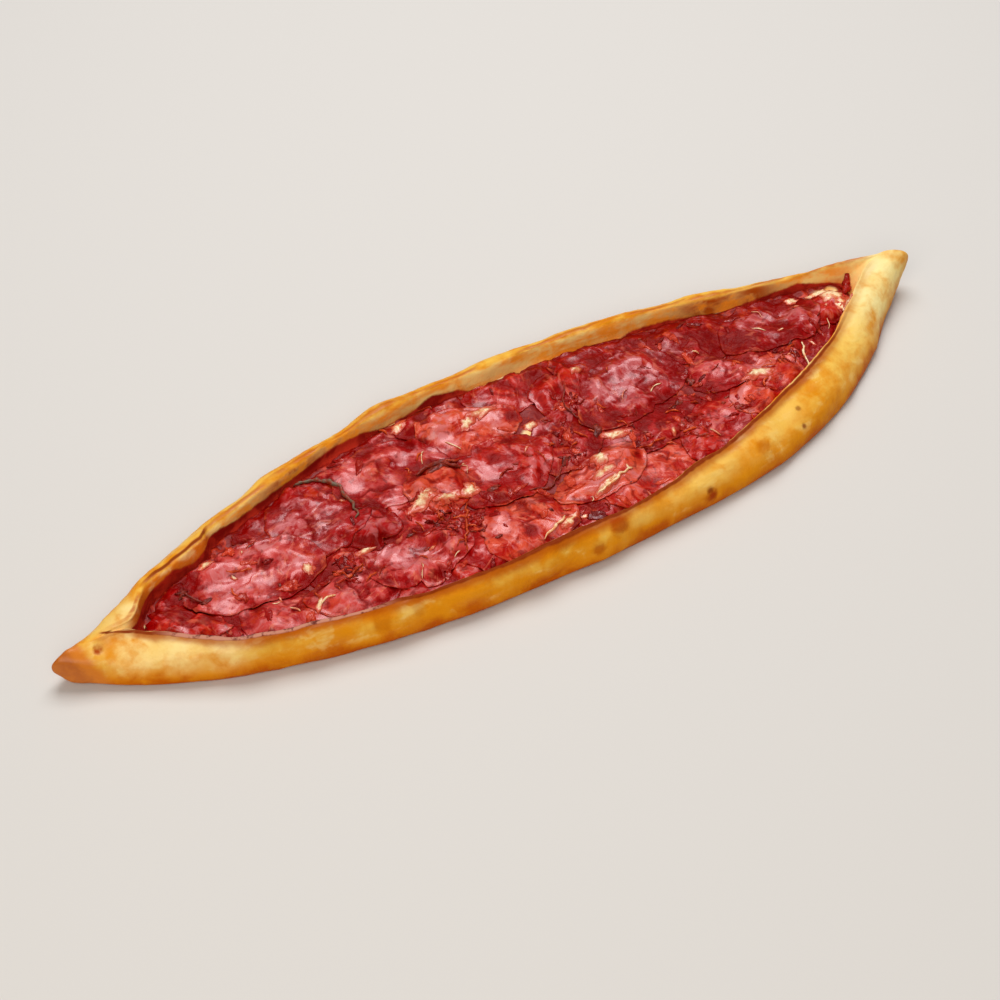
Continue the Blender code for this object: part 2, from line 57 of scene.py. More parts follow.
# %% [markdown]
# ## Shader sums
# A baked crust is a pile of small decisions: browner here, paler there, a thin dark line along
# the rim. Written node by node that is hard to read. A small class around a socket lets the
# sums be written as sums, and adds the Math nodes by itself. Every other node comes from one
# method, which takes the node's type, its settings and what feeds its sockets.


# %% A socket that can be added and multiplied
class Amount:
    """A number that varies over a surface: one output socket of a material's tree."""

    def __init__(self, finish, socket):
        self.finish = finish
        self.socket = socket

    def math(self, operation, *values):
        return self.finish.node("ShaderNodeMath", {"operation": operation}, dict(enumerate(values)))

    def __add__(self, other):
        return self.math("ADD", self, other)

    __radd__ = __add__

    def __sub__(self, other):
        return self.math("SUBTRACT", self, other)

    def __rsub__(self, other):
        return self.math("SUBTRACT", other, self)

    def __mul__(self, other):
        return self.math("MULTIPLY", self, other)

    __rmul__ = __mul__

    def __abs__(self):
        return self.math("ABSOLUTE", self)

    def swing(self, share):
        """Noise from 0 to 1 as a push either way, at most half of share."""
        return (self - 0.5) * share

    def most(self, other):
        return self.math("MAXIMUM", self, other)

    def ramp(self, low, high):
        """0 below low, 1 above high, smooth between. low may be the larger one."""
        sockets = {"Value": self, "From Min": low, "From Max": high}
        return self.finish.node("ShaderNodeMapRange", {"interpolation_type": "SMOOTHSTEP"}, sockets)


# %% A finish: one material that grows as it is described
class Finish:
    """A material around one Principled shader. Its colour is painted on coat by coat."""

    def __init__(self, name, **plain):
        self.material = bpy.data.materials.new(name)
        self.material.use_nodes = True
        self.tree = self.material.node_tree
        self.shader = self.tree.nodes["Principled BSDF"]
        for key, value in plain.items():
            self.shader.inputs[key.replace("_", " ")].default_value = value
        self.colour = None

    def feed(self, socket, value):
        if isinstance(value, Amount):
            self.tree.links.new(value.socket, socket)
        elif socket.type == "RGBA":
            socket.default_value = (*value, 1.0)
        else:
            socket.default_value = value

    def node(self, kind, settings, sockets, output=None):
        """A new node: its settings first, then its sockets by name or by number."""
        made = self.tree.nodes.new(kind)
        for key, value in settings.items():
            setattr(made, key, value)
        for key, value in sockets.items():
            named = [s for s in made.inputs if s.enabled and s.name == key]
            self.feed(made.inputs[key] if isinstance(key, int) else named[0], value)
        given = [s for s in made.outputs if s.enabled and output in (None, s.name)]
        return Amount(self, given[0])

    def mix(self, first, second, share):
        """first where share is 0, second where it is 1."""
        sockets = {"Factor": share, "A": first, "B": second}
        return self.node("ShaderNodeMix", {"data_type": "RGBA"}, sockets)

    def start(self, first, second, share):
        """The first colour of all, from two."""
        self.colour = self.mix(first, second, share)

    def coat(self, colour, share):
        """One more colour over what is there, where share is not 0."""
        self.colour = self.mix(self.colour, colour, share)

    def field(self, name, output="Fac"):
        """What the mesh itself says at each point."""
        return self.node("ShaderNodeAttribute", {"attribute_name": name}, {}, output)

    def place(self):
        return self.node("ShaderNodeTexCoord", {}, {}, "Object")

    def noise(self, where, size, detail=3.0, roughness=0.5, warp=0.0):
        """Cloudy noise from 0 to 1 whose patches are about size metres across."""
        sockets = {"Vector": where, "Scale": 1.0 / size, "Detail": detail, "Roughness": roughness}
        sockets["Distortion"] = warp
        return self.node("ShaderNodeTexNoise", {}, sockets, "Fac")

    def stretched(self, where, scale):
        sockets = {0: where, 1: scale}
        return self.node("ShaderNodeVectorMath", {"operation": "MULTIPLY"}, sockets)

    def spot(self, where, centre, radius, ragged):
        """1 at a point of the piece, fading to 0 at a ragged radius. In millimetres."""
        point = tuple(c * MM for c in centre)
        sockets = {0: where, 1: point}
        away = self.node("ShaderNodeVectorMath", {"operation": "DISTANCE"}, sockets, "Value")
        return (away + ragged * (radius * MM)).ramp(radius * MM, radius * MM * 0.3)

    def bump(self, height, depth):
        """A normal for relief that is height times depth metres deep."""
        sockets = {"Strength": 1.0, "Distance": depth, "Height": height}
        return self.node("ShaderNodeBump", {}, sockets)

    def wear(self, **sockets):
        """What varies over the surface goes to the shader last, with the colour. Gives the material."""
        for key, value in {"Base Color": self.colour, **sockets}.items():
            self.feed(self.shader.inputs[key.replace("_", " ")], value)
        return self.material


def tint(red, green, blue):
    """A screen colour, 0 to 255, as the linear numbers that a shader works in."""
    shares = [c / 255.0 for c in (red, green, blue)]
    return tuple(s / 12.92 if s <= 0.04045 else ((s + 0.055) / 1.055) ** 2.4 for s in shares)


# %% [markdown]
# ## Smooth meshes from faceted solids
# The solids are cut into flat facets, which is right for collision and wrong for bread. The
# glTF file also splits every corner between faces. So a copy is welded first, pairs of
# triangles become quads again, and Catmull-Clark subdivision rounds the result. The points are
# then pushed about with numpy, which is quick on tens of thousands of them.


# %% Helpers for meshes
def smooth_step(value, low, high):
    share = np.clip((value - low) / (high - low), 0.0, 1.0)
    return share * share * (3.0 - 2.0 * share)


def show(name, data):
    """A new object in the scene."""
    made = bpy.data.objects.new(name, data)
    bpy.context.scene.collection.objects.link(made)
    return made


def new_piece(name, points, faces):
    """A smooth mesh object from points in millimetres."""
    mesh = bpy.data.meshes.new(name)
    mesh.from_pydata([tuple(p) for p in np.asarray(points) * MM], [], faces)
    mesh.update()
    mesh.shade_smooth()
    return show(name, mesh)


def welded(node):
    """A solid's points in millimetres and its faces, with split corners joined."""
    work = bmesh.new()
    work.from_mesh(NODES[node].data)
    bmesh.ops.remove_doubles(work, verts=work.verts, dist=1e-6)
    triangles = [[v.index for v in f.verts] for f in work.faces]
    points = np.array([tuple(v.co) for v in work.verts]) / MM
    everywhere = math.pi
    bmesh.ops.join_triangles(
        work,
        faces=work.faces,
        angle_face_threshold=everywhere,
        angle_shape_threshold=everywhere,
    )
    quads = [[v.index for v in f.verts] for f in work.faces]
    work.free()
    return points, triangles, quads


def subdivided(name, node, levels):
    """A rounded, finer copy of a solid."""
    points, _, quads = welded(node)
    piece = new_piece(name, points, quads)
    rounder = piece.modifiers.new("rounder", "SUBSURF")
    rounder.levels = levels
    rounder.render_levels = levels
    seen = piece.evaluated_get(bpy.context.evaluated_depsgraph_get())
    fine = bpy.data.meshes.new_from_object(seen)
    piece.modifiers.clear()
    piece.data = fine
    fine.name = name
    return piece


def read_points(piece):
    flat = np.zeros(len(piece.data.vertices) * 3)
    piece.data.vertices.foreach_get("co", flat)
    return flat.reshape(-1, 3) / MM


def read_normals(piece):
    flat = np.zeros(len(piece.data.vertices) * 3, np.float32)
    piece.data.vertex_normals.foreach_get("vector", flat)
    return flat.reshape(-1, 3).astype(float)


def tree_of(piece):
    """What rays need to find a piece's surface, in millimetres."""
    faces = [tuple(p.vertices) for p in piece.data.polygons]
    return BVHTree.FromPolygons([Vector(p) for p in read_points(piece)], faces)


def write_points(piece, points):
    piece.data.vertices.foreach_set("co", (points * MM).ravel())
    piece.data.update()


def write_field(piece, name, values):
    """Numbers, or vectors, that a finish reads back with field()."""
    values = np.asarray(values, np.float32)
    kind, key = ("FLOAT", "value") if values.ndim == 1 else ("FLOAT_VECTOR", "vector")
    layer = piece.data.attributes.new(name, kind, "POINT")
    layer.data.foreach_set(key, values.ravel())


def eased(piece, points, share, rounds):
    """Points drawn towards the middle of their neighbours, each by its share."""
    ends = np.zeros(len(piece.data.edges) * 2, np.int32)
    piece.data.edges.foreach_get("vertices", ends)
    ends = ends.reshape(-1, 2)
    count = np.bincount(ends.ravel(), minlength=len(points))[:, None]
    for _ in range(rounds):
        total = np.zeros_like(points)
        np.add.at(total, ends[:, 0], points[ends[:, 1]])
        np.add.at(total, ends[:, 1], points[ends[:, 0]])
        points = points + (total / count - points) * share[:, None]
    return points


def nearness(points, places):
    """1 at any of the places on the plan, fading out with each one's radius."""
    near = np.zeros(len(points))
    for along, across, radius in places:
        apart = np.hypot(points[:, 0] - along, points[:, 1] - across) / radius
        near = np.maximum(near, np.exp(-apart ** 2))
    return near


def ripples(points, wavelength, seed, waves=14):
    """Smooth random waves over points in millimetres, about -1 to 1 and the same each run."""
    random = np.random.default_rng(seed)
    directions = random.normal(size=(waves, points.shape[1]))
    directions /= np.linalg.norm(directions, axis=1)[:, None]
    lengths = wavelength * random.uniform(0.7, 1.5, waves)
    phases = random.uniform(0.0, 2.0 * math.pi, waves)
    turns = points @ (directions / lengths[:, None]).T * 2.0 * math.pi
    return 0.9 * np.sin(turns + phases).sum(axis=1) / math.sqrt(waves)


def layered(points, layers, shift=0):
    """Ripples of several sizes together, given as (height, wavelength, seed)."""
    return sum(height * ripples(points, length, seed + shift) for height, length, seed in layers)


def full_turn(count):
    return np.linspace(0.0, 2.0 * math.pi, count, endpoint=False)


def unit_circle(bearings):
    return np.column_stack([np.cos(bearings), np.sin(bearings)])


# %% [markdown]
# ## Where the rim runs
# The rim of dough is what the eye follows, and much of the browning is measured from it. Its
# crest could be worked out again from formulas, but then two files would have to agree. Here
# it is measured: rays fall on the smoothed boat along cuts from side to side, and the crest is
# where the surface first stops rising, seen from either side.

# %% Measure the boat
crust = subdivided("crust_skin", "crust", 2)
crust_points = read_points(crust)
crust_tree = tree_of(crust)
LOW, HIGH = crust_points.min(axis=0), crust_points.max(axis=0)
CUT_STEP = 2.0             # from one cut across the boat to the next
RAY_STEP = 0.5             # and from one ray to the next along a cut
RAY_START = 80.0           # rays fall from well above the food
DOWN = Vector((0.0, 0.0, -1.0))
NEAR_Y, NEAR_Z, FAR_Y, FAR_Z, SIDE_NEAR, SIDE_FAR = 1, 2, 3, 4, 5, 6   # columns of RIM, after x


def drop(tree, x, y):
    """Height of the surface under a point, or None beside it."""
    found = tree.ray_cast(Vector((x, y, RAY_START)), DOWN)[0]
    return None if found is None else found.z


def first_crest(cut):
    """The first place along a cut where the surface stops rising."""
    for here, after in zip(cut, cut[1:]):
        if after[1] < here[1]:
            return here
    return cut[-1]


rim_rows = []
for x in np.arange(LOW[0] + 1.0, HIGH[0] - 0.9, CUT_STEP):
    heights = [(y, drop(crust_tree, x, y)) for y in np.arange(LOW[1], HIGH[1], RAY_STEP)]
    cut = [(y, z) for y, z in heights if z is not None]
    if len(cut) > 2:
        rim_rows.append((x, *first_crest(cut), *first_crest(cut[::-1]), cut[0][0], cut[-1][0]))
RIM = np.array(rim_rows)
widest = (RIM[:, SIDE_FAR] - RIM[:, SIDE_NEAR]).max()
print("cuts across the boat:", len(RIM), "widest:", round(widest, 1), "mm")


def rim_at(x, column):
    return np.interp(x, RIM[:, 0], RIM[:, column])


def rim_fields(points):
    """For each point: far side or not, how far inside that rim's crest, and its share of the height."""
    x, y, z = points.T
    near_y, near_z = rim_at(x, NEAR_Y), rim_at(x, NEAR_Z)
    far_y, far_z = rim_at(x, FAR_Y), rim_at(x, FAR_Z)
    far = y > 0.5 * (near_y + far_y)
    inward = np.where(far, far_y - y, y - near_y)
    crest_z = np.where(far, far_z, near_z)
    away = np.hypot(inward, z - crest_z) * np.where(inward > 0.0, 1.0, -1.0)
    return far, away, np.clip(z / crest_z, 0.0, 1.2)


# %% [markdown]
# ## The crust's relief
# Hand-rolled dough is never even: long soft swells where it was pinched, small blisters where
# steam lifted the skin, a ragged edge where it was folded, and a thumb's dimple near the low
# tip. All of it is real relief, pushed along the surface's own normals. The base stays flat,
# because the pide rests on it.

# %% Swells, blisters and the dimple
DIMPLE = (-206.6, -0.5)    # where a thumb pressed the low tip
BLISTERS = (               # along, across, radius, height
    (55.0, -62.0, 5.0, 0.5),
    (88.0, -56.0, 6.0, 0.5),
    (7.0, -60.0, 7.0, 0.6),
    (-30.0, -60.0, 6.0, 0.5),
    (114.0, -53.0, 3.0, 0.3),
    (-130.0, -41.0, 6.0, 0.6),
    (-112.0, -48.0, 5.0, 0.6),
    (-150.0, -34.0, 6.0, 0.5),
    (-168.0, -24.0, 6.0, 0.8),
    (-180.0, -16.0, 5.0, 0.6),
    (-192.0, -9.0, 5.0, 0.8),
    (150.0, -32.0, 9.0, 0.5),
    (176.0, -18.0, 8.0, 0.6),
    (*DIMPLE, 2.2, -1.1),
)
DOUGH_WAVES = ((0.55, 34.0, 1), (0.28, 13.0, 2), (0.10, 5.0, 3))   # height, wavelength, seed
SKIN_STARTS, SKIN_FULL = 1.0, 4.0      # relief sets in between these heights, so the base stays flat
SEAM_FILL = 0.3            # dough stands this far above the rims where they meet


def on_crust(x, y):
    """The point of the boat's skin over a place."""
    return np.array((x, y, drop(crust_tree, x, y)))


def fill_seam(points):
    """Raises the slit where the rims meet. Gives how open the boat is at each point."""
    x, y, z = points.T
    open_share = smooth_step(rim_at(x, FAR_Y) - rim_at(x, NEAR_Y), 2.0, 7.0)
    crest = 0.5 * (rim_at(x, NEAR_Z) + rim_at(x, FAR_Z))
    in_slit = (y > rim_at(x, NEAR_Y)) & (y < rim_at(x, FAR_Y)) & (z > 0.4 * crest)
    points[:, 2] += np.where(in_slit, (crest + SEAM_FILL - z) * (1.0 - open_share), 0.0)
    return open_share


def roll_ends(points, opening):
    """Rounds the tips and the pinched seam, as fingers do."""
    rim_away = rim_fields(points)[1]
    from_end = np.minimum(points[:, 0] - LOW[0], HIGH[0] - points[:, 0])
    rolled = (1.0 - opening) * smooth_step(np.abs(rim_away), 9.0, 3.0) * smooth_step(from_end, 1.0, 9.0)
    rolled = np.maximum(rolled, smooth_step(from_end, 40.0, 20.0) * smooth_step(from_end, 2.0, 12.0))
    rolled *= smooth_step(points[:, 2], SKIN_STARTS, SKIN_FULL)
    return eased(crust, points, 0.6 * rolled, 16)


def dough_swell(points, far_side, rim_away, opening):
    """How far each point of the skin stands out or in."""
    swell = layered(points, DOUGH_WAVES)
    edge = np.exp(-(rim_away / 1.5) ** 2)
    swell += 0.22 * edge * ripples(points, 5.5, 4) * opening
    lipped = smooth_step(points[:, 0], 150.0, 60.0)
    swell += 0.9 * np.exp(-((rim_away - 1.4) / 1.4) ** 2) * opening * (1.0 - far_side) * lipped
    for along, across, radius, height in BLISTERS:
        apart = np.linalg.norm(points - on_crust(along, across), axis=1) / radius
        swell += height * np.exp(-apart ** 2)
    return swell


opening = fill_seam(crust_points)
crust_points = roll_ends(crust_points, opening)
write_points(crust, crust_points)
far_side, rim_away, rise = rim_fields(crust_points)
swell = dough_swell(crust_points, far_side, rim_away, opening)
swell *= smooth_step(crust_points[:, 2], SKIN_STARTS, SKIN_FULL) * smooth_step(rim_away, 9.0, 2.0)
write_points(crust, crust_points + read_normals(crust) * swell[:, None])
print("crust points:", len(crust_points))

# %% [markdown]
# ## The crust's colour
# Buttered dough goes from amber, low down where it met the hot stone, through gold to cream
# along the top; part of that change with height is painted shade low on the wall and a painted
# highlight high on it. The low tip caught the oven's heat and is brown; the raised tip stayed pale.
# A thin brown line runs beside the rim's edge where the cut dough dried out; inside the near lip
# it is also painted shade in the groove. Inside, the wall is smeared with butter, toasted in places,
# and red where fat from the meat climbed it. Low down the wall is painted darker as shade, and the
# red is deepened as painted shade where the filling meets the wall.
#
# Where all this happens is told by places on the plan, given one by one, since an oven follows no
# formula. They are written on the mesh as fields, and the finish reads them back.

# %% Where the crust browned
BROWNED_TIP = (-201.0, -216.0)                 # the low tip browns from the first to the second
SEAM = np.array(((-202.4, 5.7), (-186.0, -4.0)))   # where the rims were pinched shut: from, to
CUT_EDGE = (-186.0, -176.0, -108.0, -92.0)     # where the near rim shows its cut edge
FLAP = (-194.0, -187.0, -141.0, -136.0)        # where the far wall has a folded flap
FLAP_TOP = (-178.0, -168.0, -141.0, -136.0)    # and where its top edge browned
CORNER = (-172.0, -182.0)                      # the wall darkens into the low end's corner
PALE_END = (120.0, 200.0)                      # and the crust turns pale towards the raised tip
CREAM_AND_HIGHLIGHT = (                 # along, across, radius: where the dough stayed pale and caught butter, and a painted highlight lies on it
    (-190.0, 1.0, 11.0),
    (-194.0, -8.0, 9.0),
    (-178.0, -17.0, 11.0),
    (-164.0, -27.0, 8.0),
    (-191.0, 6.5, 5.0),
    (-187.0, 10.5, 5.0),
    (190.0, -6.0, 16.0),
    (206.0, 6.0, 15.0),
    (214.0, 10.0, 9.0),
)
TOASTED = (                # along, across, radius: where the far wall's inside browned
    (-90.0, 46.0, 22.0),
    (-62.0, 52.0, 14.0),
    (130.0, 36.0, 22.0),
    (152.0, 30.0, 14.0),
)
STAINED = (                # along, how far below the far rim's crest red fat climbed the wall
    (-176.0, 5.0),
    (-162.0, 3.0),
    (-150.0, 8.0),
    (-136.0, 3.0),
    (-122.0, 5.5),
    (-108.0, 5.5),
    (-94.0, 5.0),
    (-66.0, 4.0),
    (-52.0, 5.0),
    (-40.0, 8.5),
    (-26.0, 8.5),
    (-12.0, 4.5),
    (0.0, 6.0),
    (12.0, 13.0),
    (74.0, 13.0),
    (90.0, 8.0),
    (110.0, 7.5),
    (136.0, 9.5),
    (150.0, 8.0),
    (174.0, 4.5),
    (190.0, 9.0),
    (200.0, 13.0),
)
SHEEN_BAND = (                 # along, across, radius: where a painted sheen highlight runs along the near wall
    (19.0, -60.0, 8.0),
    (36.0, -60.0, 8.0),
    (52.0, -58.5, 9.0),
    (67.0, -57.0, 9.0),
    (82.0, -54.5, 9.0),
    (96.0, -51.0, 9.0),
    (110.0, -46.0, 8.0),
)
BROWN_SPOTS = (            # along, across, radius, reddish or dark, strength
    (55.1, -63.3, 4.2, True, 0.95),
    (54.4, -62.0, 2.6, False, 0.8),
    (7.0, -60.7, 5.5, True, 0.75),
    (-5.0, -63.0, 4.5, True, 0.6),
    (88.5, -56.6, 4.5, True, 0.4),
    (-104.0, -50.0, 6.0, True, 0.3),
    (-88.0, -53.0, 5.0, True, 0.3),
    (113.9, -53.6, 2.2, False, 0.8),
    (115.8, -46.5, 1.8, False, 0.6),
    (*DIMPLE, 3.2, True, 0.95),
)


# %% Fields on the crust
def band(start, full, end, gone):
    """1 along a stretch of the boat, fading in and out."""
    x = crust_points[:, 0]
    return smooth_step(x, start, full) * smooth_step(x, gone, end)


def seam_fields():
    """Distance across the pinched seam's line, and whether a point lies along it."""
    length = np.linalg.norm(SEAM[1] - SEAM[0])
    from_start = crust_points[:, :2] - SEAM[0]
    along = from_start @ (SEAM[1] - SEAM[0]) / length
    side = np.array((SEAM[0, 1] - SEAM[1, 1], SEAM[1, 0] - SEAM[0, 0])) / length
    on_line = smooth_step(along, -1.0, 1.0) * smooth_step(length - along, -1.0, 1.0)
    return from_start @ side, on_line * smooth_step(crust_points[:, 2], 10.0, 12.0)


x_along = crust_points[:, 0]
seam_across, on_seam = seam_fields()
CRUST_FIELDS = {
    "rim": rim_away,
    "rise": rise,
    "far": far_side.astype(float),
    "opening": opening,
    "seam_across": seam_across,
    "seam": on_seam,
    "cut_edge": band(*CUT_EDGE) * (1.0 - far_side),
    "browned": smooth_step(x_along + 0.35 * crust_points[:, 2], *BROWNED_TIP),
    "pale": smooth_step(x_along, *PALE_END),
    "creamy": nearness(crust_points, CREAM_AND_HIGHLIGHT) * smooth_step(rise, 0.25, 0.7),
    "flap_top": band(*FLAP_TOP) * far_side,
    "flap": band(*FLAP) * far_side,
    "corner": smooth_step(x_along, *CORNER),
    "toasted": nearness(crust_points, TOASTED),
    "stain": rim_away - np.interp(x_along, *np.array(STAINED).T),
    "painted_sheen": nearness(crust_points, SHEEN_BAND) * smooth_step(rise, 0.5, 0.8),
}
for name, values in CRUST_FIELDS.items():
    write_field(crust, name, values)
print("fields on the crust:", ", ".join(CRUST_FIELDS))


# %% The finish of baked dough
class Dough(Finish):
    """Baked dough: what its browning is measured by, then one method for each kind of colour."""

    def __init__(self):
        tinted = (1.0, 0.7, 0.35, 1.0)
        super().__init__("baked_dough", Coat_Roughness=0.28, Specular_IOR_Level=0.06, Specular_Tint=tinted)
        self.where = self.place()
        self.rim = self.field("rim")
        self.height = self.field("rise")
        self.far = self.field("far")
        self.opening = self.field("opening")
        self.near_side = (1.0 - self.far) * self.opening
        self.pale_end = self.field("pale")
        self.browned_tip = self.field("browned")
        self.clouds = self.noise(self.where, 0.018, 4.0, 0.6)
        self.fine = self.noise(self.where, 0.004, 4.0, 0.6)
        self.streaks = self.noise(self.stretched(self.where, (0.25, 1.0, 1.0)), 0.006, 3.0, 0.6)
        self.patches = self.noise(self.where, 0.009, 3.0, 0.55, 0.6)
        self.ragged = self.fine.swing(1.6) + self.clouds.swing(1.5)
        self.inner_face = (self.rim + self.ragged * 0.5).ramp(0.8, 2.2) * self.opening

    def gold(self):
        """Amber low down, gold above, partly the bake and partly painted shade and highlight; darker along
        the near crest.
        """
        clouds, patches = self.clouds, self.patches
        # Height drives the colour: painted shade low on the wall, which faces away from the light, and a
        # painted highlight high up.
        browning_and_shade = self.height + clouds.swing(0.9) + patches.swing(0.5) + self.fine.swing(0.25)
        self.start(tint(194, 88, 0), tint(228, 142, 18), browning_and_shade.ramp(0.05, 0.6))
        # Pale cream high on the wall: butter, and a painted highlight along the top of the roll.
        pale_top_and_highlight = (browning_and_shade + self.streaks.swing(0.4)).ramp(0.5, 1.1) * (patches + clouds).ramp(0.75, 1.2)
        self.coat(tint(244, 192, 78), pale_top_and_highlight * 0.85)
        crest = (self.rim + clouds.swing(5.0)).ramp(-6.0, -0.5) * self.near_side
        crest = crest * (1.0 - self.pale_end * 0.8) * (1.0 - self.field("painted_sheen") * 0.8)
        self.coat(tint(192, 96, 10), crest * 0.85)

    def butter(self):
        """Cream where the dough stayed pale and the brush left butter, with painted highlights: glints, a
        sheen band, light on the tips.
        """
        clouds, patches, fine = self.clouds, self.patches, self.fine
        creamy = self.pale_end * (patches * 0.5 + clouds * 0.7 + fine * 0.3).ramp(0.4, 1.1)
        self.coat(tint(255, 226, 130), creamy * self.height.ramp(0.2, 0.7) * 0.8)
        # Cream on the tips: pale dough and butter, with a painted highlight where light catches them.
        butter_and_highlight = self.field("creamy") * ((clouds + patches) * 0.7 + fine.swing(0.4)).ramp(0.4, 0.9)
        self.coat(self.mix(tint(254, 222, 146), tint(255, 234, 164), self.pale_end), butter_and_highlight * 0.95)
        # Painted highlight: small pale glints high on the near wall.
        painted_glints = (self.streaks + patches.swing(0.8)).ramp(0.56, 0.72) * self.height.ramp(0.35, 0.6)
        self.coat(tint(250, 212, 128), painted_glints * (1.0 - self.far) * 0.35)
        # Painted highlight: a band of sheen along the near wall's upper part.
        self.coat(tint(248, 196, 98), self.field("painted_sheen") * (clouds + patches).ramp(0.6, 1.1) * 0.6)

    def scorch(self):
        """The near edge and the low tip, browned by the oven's heat."""
        clouds, fine = self.clouds, self.fine
        edge = (self.rim + clouds.swing(2.0) + fine.swing(1.5)).ramp(-4.6, -0.8) * self.near_side
        self.coat(tint(168, 74, 4), edge * (1.0 - self.pale_end * 0.7) * 0.7)
        scorched = self.browned_tip + clouds.swing(0.6) + fine.swing(0.3)
        self.coat(tint(214, 122, 34), scorched.ramp(0.1, 0.6))
        self.coat(tint(166, 78, 26), scorched.ramp(0.7, 1.2) * 0.8)

    def brown_spots(self):
        """Round scorch marks. Gives where they are."""
        ragged = self.patches.swing(0.9) + self.fine.swing(0.7)
        spots = 0.0
        for along, across, radius, reddish, share in BROWN_SPOTS:
            spot = self.spot(self.where, on_crust(along, across), radius, ragged)
            self.coat(tint(164, 54, 0) if reddish else tint(124, 28, 0), spot * share)
            spots = spots + spot
        return spots

    def inner_wall(self):
        """The wall above the filling: buttered, toasted at the flap, stained by red fat, with painted shade
        low down.
        """
        rim, streaks, patches, ragged = self.rim, self.streaks, self.patches, self.ragged
        smears = (streaks + patches.swing(0.6)).ramp(0.35, 0.65)
        wall = self.mix(tint(255, 160, 46), tint(255, 216, 130), smears)
        # Darker orange low on the wall: oil from the filling and painted shade.
        wall = self.mix(wall, tint(224, 112, 36), (rim + ragged * 2.0).ramp(5.0, 9.5) * 0.6)
        wall = self.mix(wall, tint(188, 84, 16), self.field("toasted") * (patches + streaks).ramp(0.8, 1.15))
        wall = self.mix(wall, tint(255, 226, 150), self.field("creamy") * 0.9)
        self.coat(wall, self.inner_face)
        flap = self.mix(tint(232, 126, 30), tint(252, 200, 126), (patches + streaks * 0.5).ramp(0.7, 0.95))
        # Painted shade: the flap's inner face darkens low down.
        flap = self.mix(flap, tint(192, 74, 4), (rim + ragged * 1.5).ramp(4.5, 8.5) * 0.85)
        flap = self.mix(flap, tint(190, 96, 26), self.field("corner") * 0.8)
        self.coat(flap, self.inner_face * self.field("flap"))
        # Red fat that climbed the wall; its deeper reds are also painted shade at the filling's edge.
        red_fat_and_shade = self.mix(tint(184, 44, 28), tint(146, 22, 16), patches.ramp(0.4, 0.6))
        climbed = (self.field("stain") + ragged * 1.2).ramp(-0.6, 0.8) * self.far
        self.coat(red_fat_and_shade, self.inner_face * climbed)

    def dark_lines(self):
        """Thin lines where edges dried: both rims, the pinched seam and the flap; the near one is also
        painted shade in its groove. Gives the darkest.
        """
        rim, fine, ragged = self.rim, self.fine, self.ragged
        # Painted shade in the groove inside the near lip, over a line where the cut edge dried.
        lip = abs(rim - 0.6 + ragged * 0.3).ramp(1.3, 0.4) * (1.0 - self.far) * self.opening
        from_seam = abs(self.field("seam_across") + ragged * 0.2)
        near_line_and_shade = lip.most(from_seam.ramp(1.0, 0.2) * self.field("seam"))
        faded = 1.0 - self.pale_end.ramp(0.4, 0.9) * 0.9
        self.coat(tint(132, 44, 6), near_line_and_shade * faded * (fine * 0.5 + 0.7))
        far_line = abs(rim + 0.2 + ragged * 0.5).ramp(1.8, 0.4) * self.far * self.streaks.ramp(0.3, 0.6)
        self.coat(tint(188, 86, 12), far_line * self.opening * 0.8)
        flap_line = abs(rim + 0.2).ramp(1.2, 0.4) * self.field("flap_top")
        self.coat(tint(132, 46, 4), flap_line * 0.9)
        return near_line_and_shade, flap_line

    def cut_face(self):
        """The near rim's cut edge, pinkish with fat and flecked dark."""
        cut = self.field("cut_edge") * (self.rim + 0.3).ramp(-0.2, 0.5) * self.rim.ramp(5.0, 3.0)
        self.coat(self.mix(tint(198, 132, 108), tint(104, 44, 38), self.fine.ramp(0.5, 0.64)), cut)


def bake_crust():
    dough = Dough()
    dough.gold()
    dough.butter()
    dough.scorch()
    spots = dough.brown_spots()
    dough.inner_wall()
    near_line_and_shade, flap_line = dough.dark_lines()
    dough.cut_face()
    dull = spots.most(flap_line).most(near_line_and_shade).most(dough.inner_face)
    glossy = (dough.height.ramp(0.3, 0.7) * dough.streaks.ramp(0.4, 0.7)).most(dough.browned_tip)
    relief = dough.fine * 0.6 + dough.streaks * 0.5 + dough.noise(dough.where, 0.0012, 2.0) * 0.25
    return dough.wear(
        Roughness=dough.clouds * 0.25 + 0.35,
        Coat_Weight=glossy * (0.45 - dull * 0.45),
        Normal=dough.bump(relief, 0.0007),
    )


# %% Dress the crust
crust.data.materials.append(bake_crust())
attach(crust, "root")
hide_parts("crust")
print("crust dressed")

# %% [markdown]
# ## Melted cheese
# The cheese is a thin uneven bed. Between the slices it shows as small cream islands, and it
# creeps up the far wall. It is rounded like the crust and given lumps.

# %% The cheese bed
CREAM_PLACES = (           # along, across, radius: where cheese shows clean of red oil
    (-41.0, 51.0, 10.0),
    (17.0, 51.0, 9.0),
    (55.0, 44.0, 8.0),
    (180.0, 11.0, 8.0),
    (183.0, 1.0, 8.0),
    (163.0, 17.0, 5.0),
    (186.0, 14.0, 4.0),
    (-160.0, 28.0, 5.0),
    (-184.0, 5.0, 4.0),
    (-35.0, 49.0, 7.0),
    (12.0, 48.0, 7.0),
    (95.0, 38.0, 3.0),
    (13.0, 13.0, 5.0),
    (2.0, 33.0, 4.0),
    (40.0, -13.0, 5.0),
)
LUMPS = ((0.45, 9.0, 11), (0.3, 4.0, 12))      # height, wavelength, seed
cheese = subdivided("melted_cheese", "cheese_bed", 3)
cheese_points = read_points(cheese)
top_side = smooth_step(read_normals(cheese)[:, 2], 0.1, 0.6)
cheese_points[:, 2] += layered(cheese_points, LUMPS) * top_side
write_points(cheese, cheese_points)
cream = nearness(cheese_points, CREAM_PLACES)
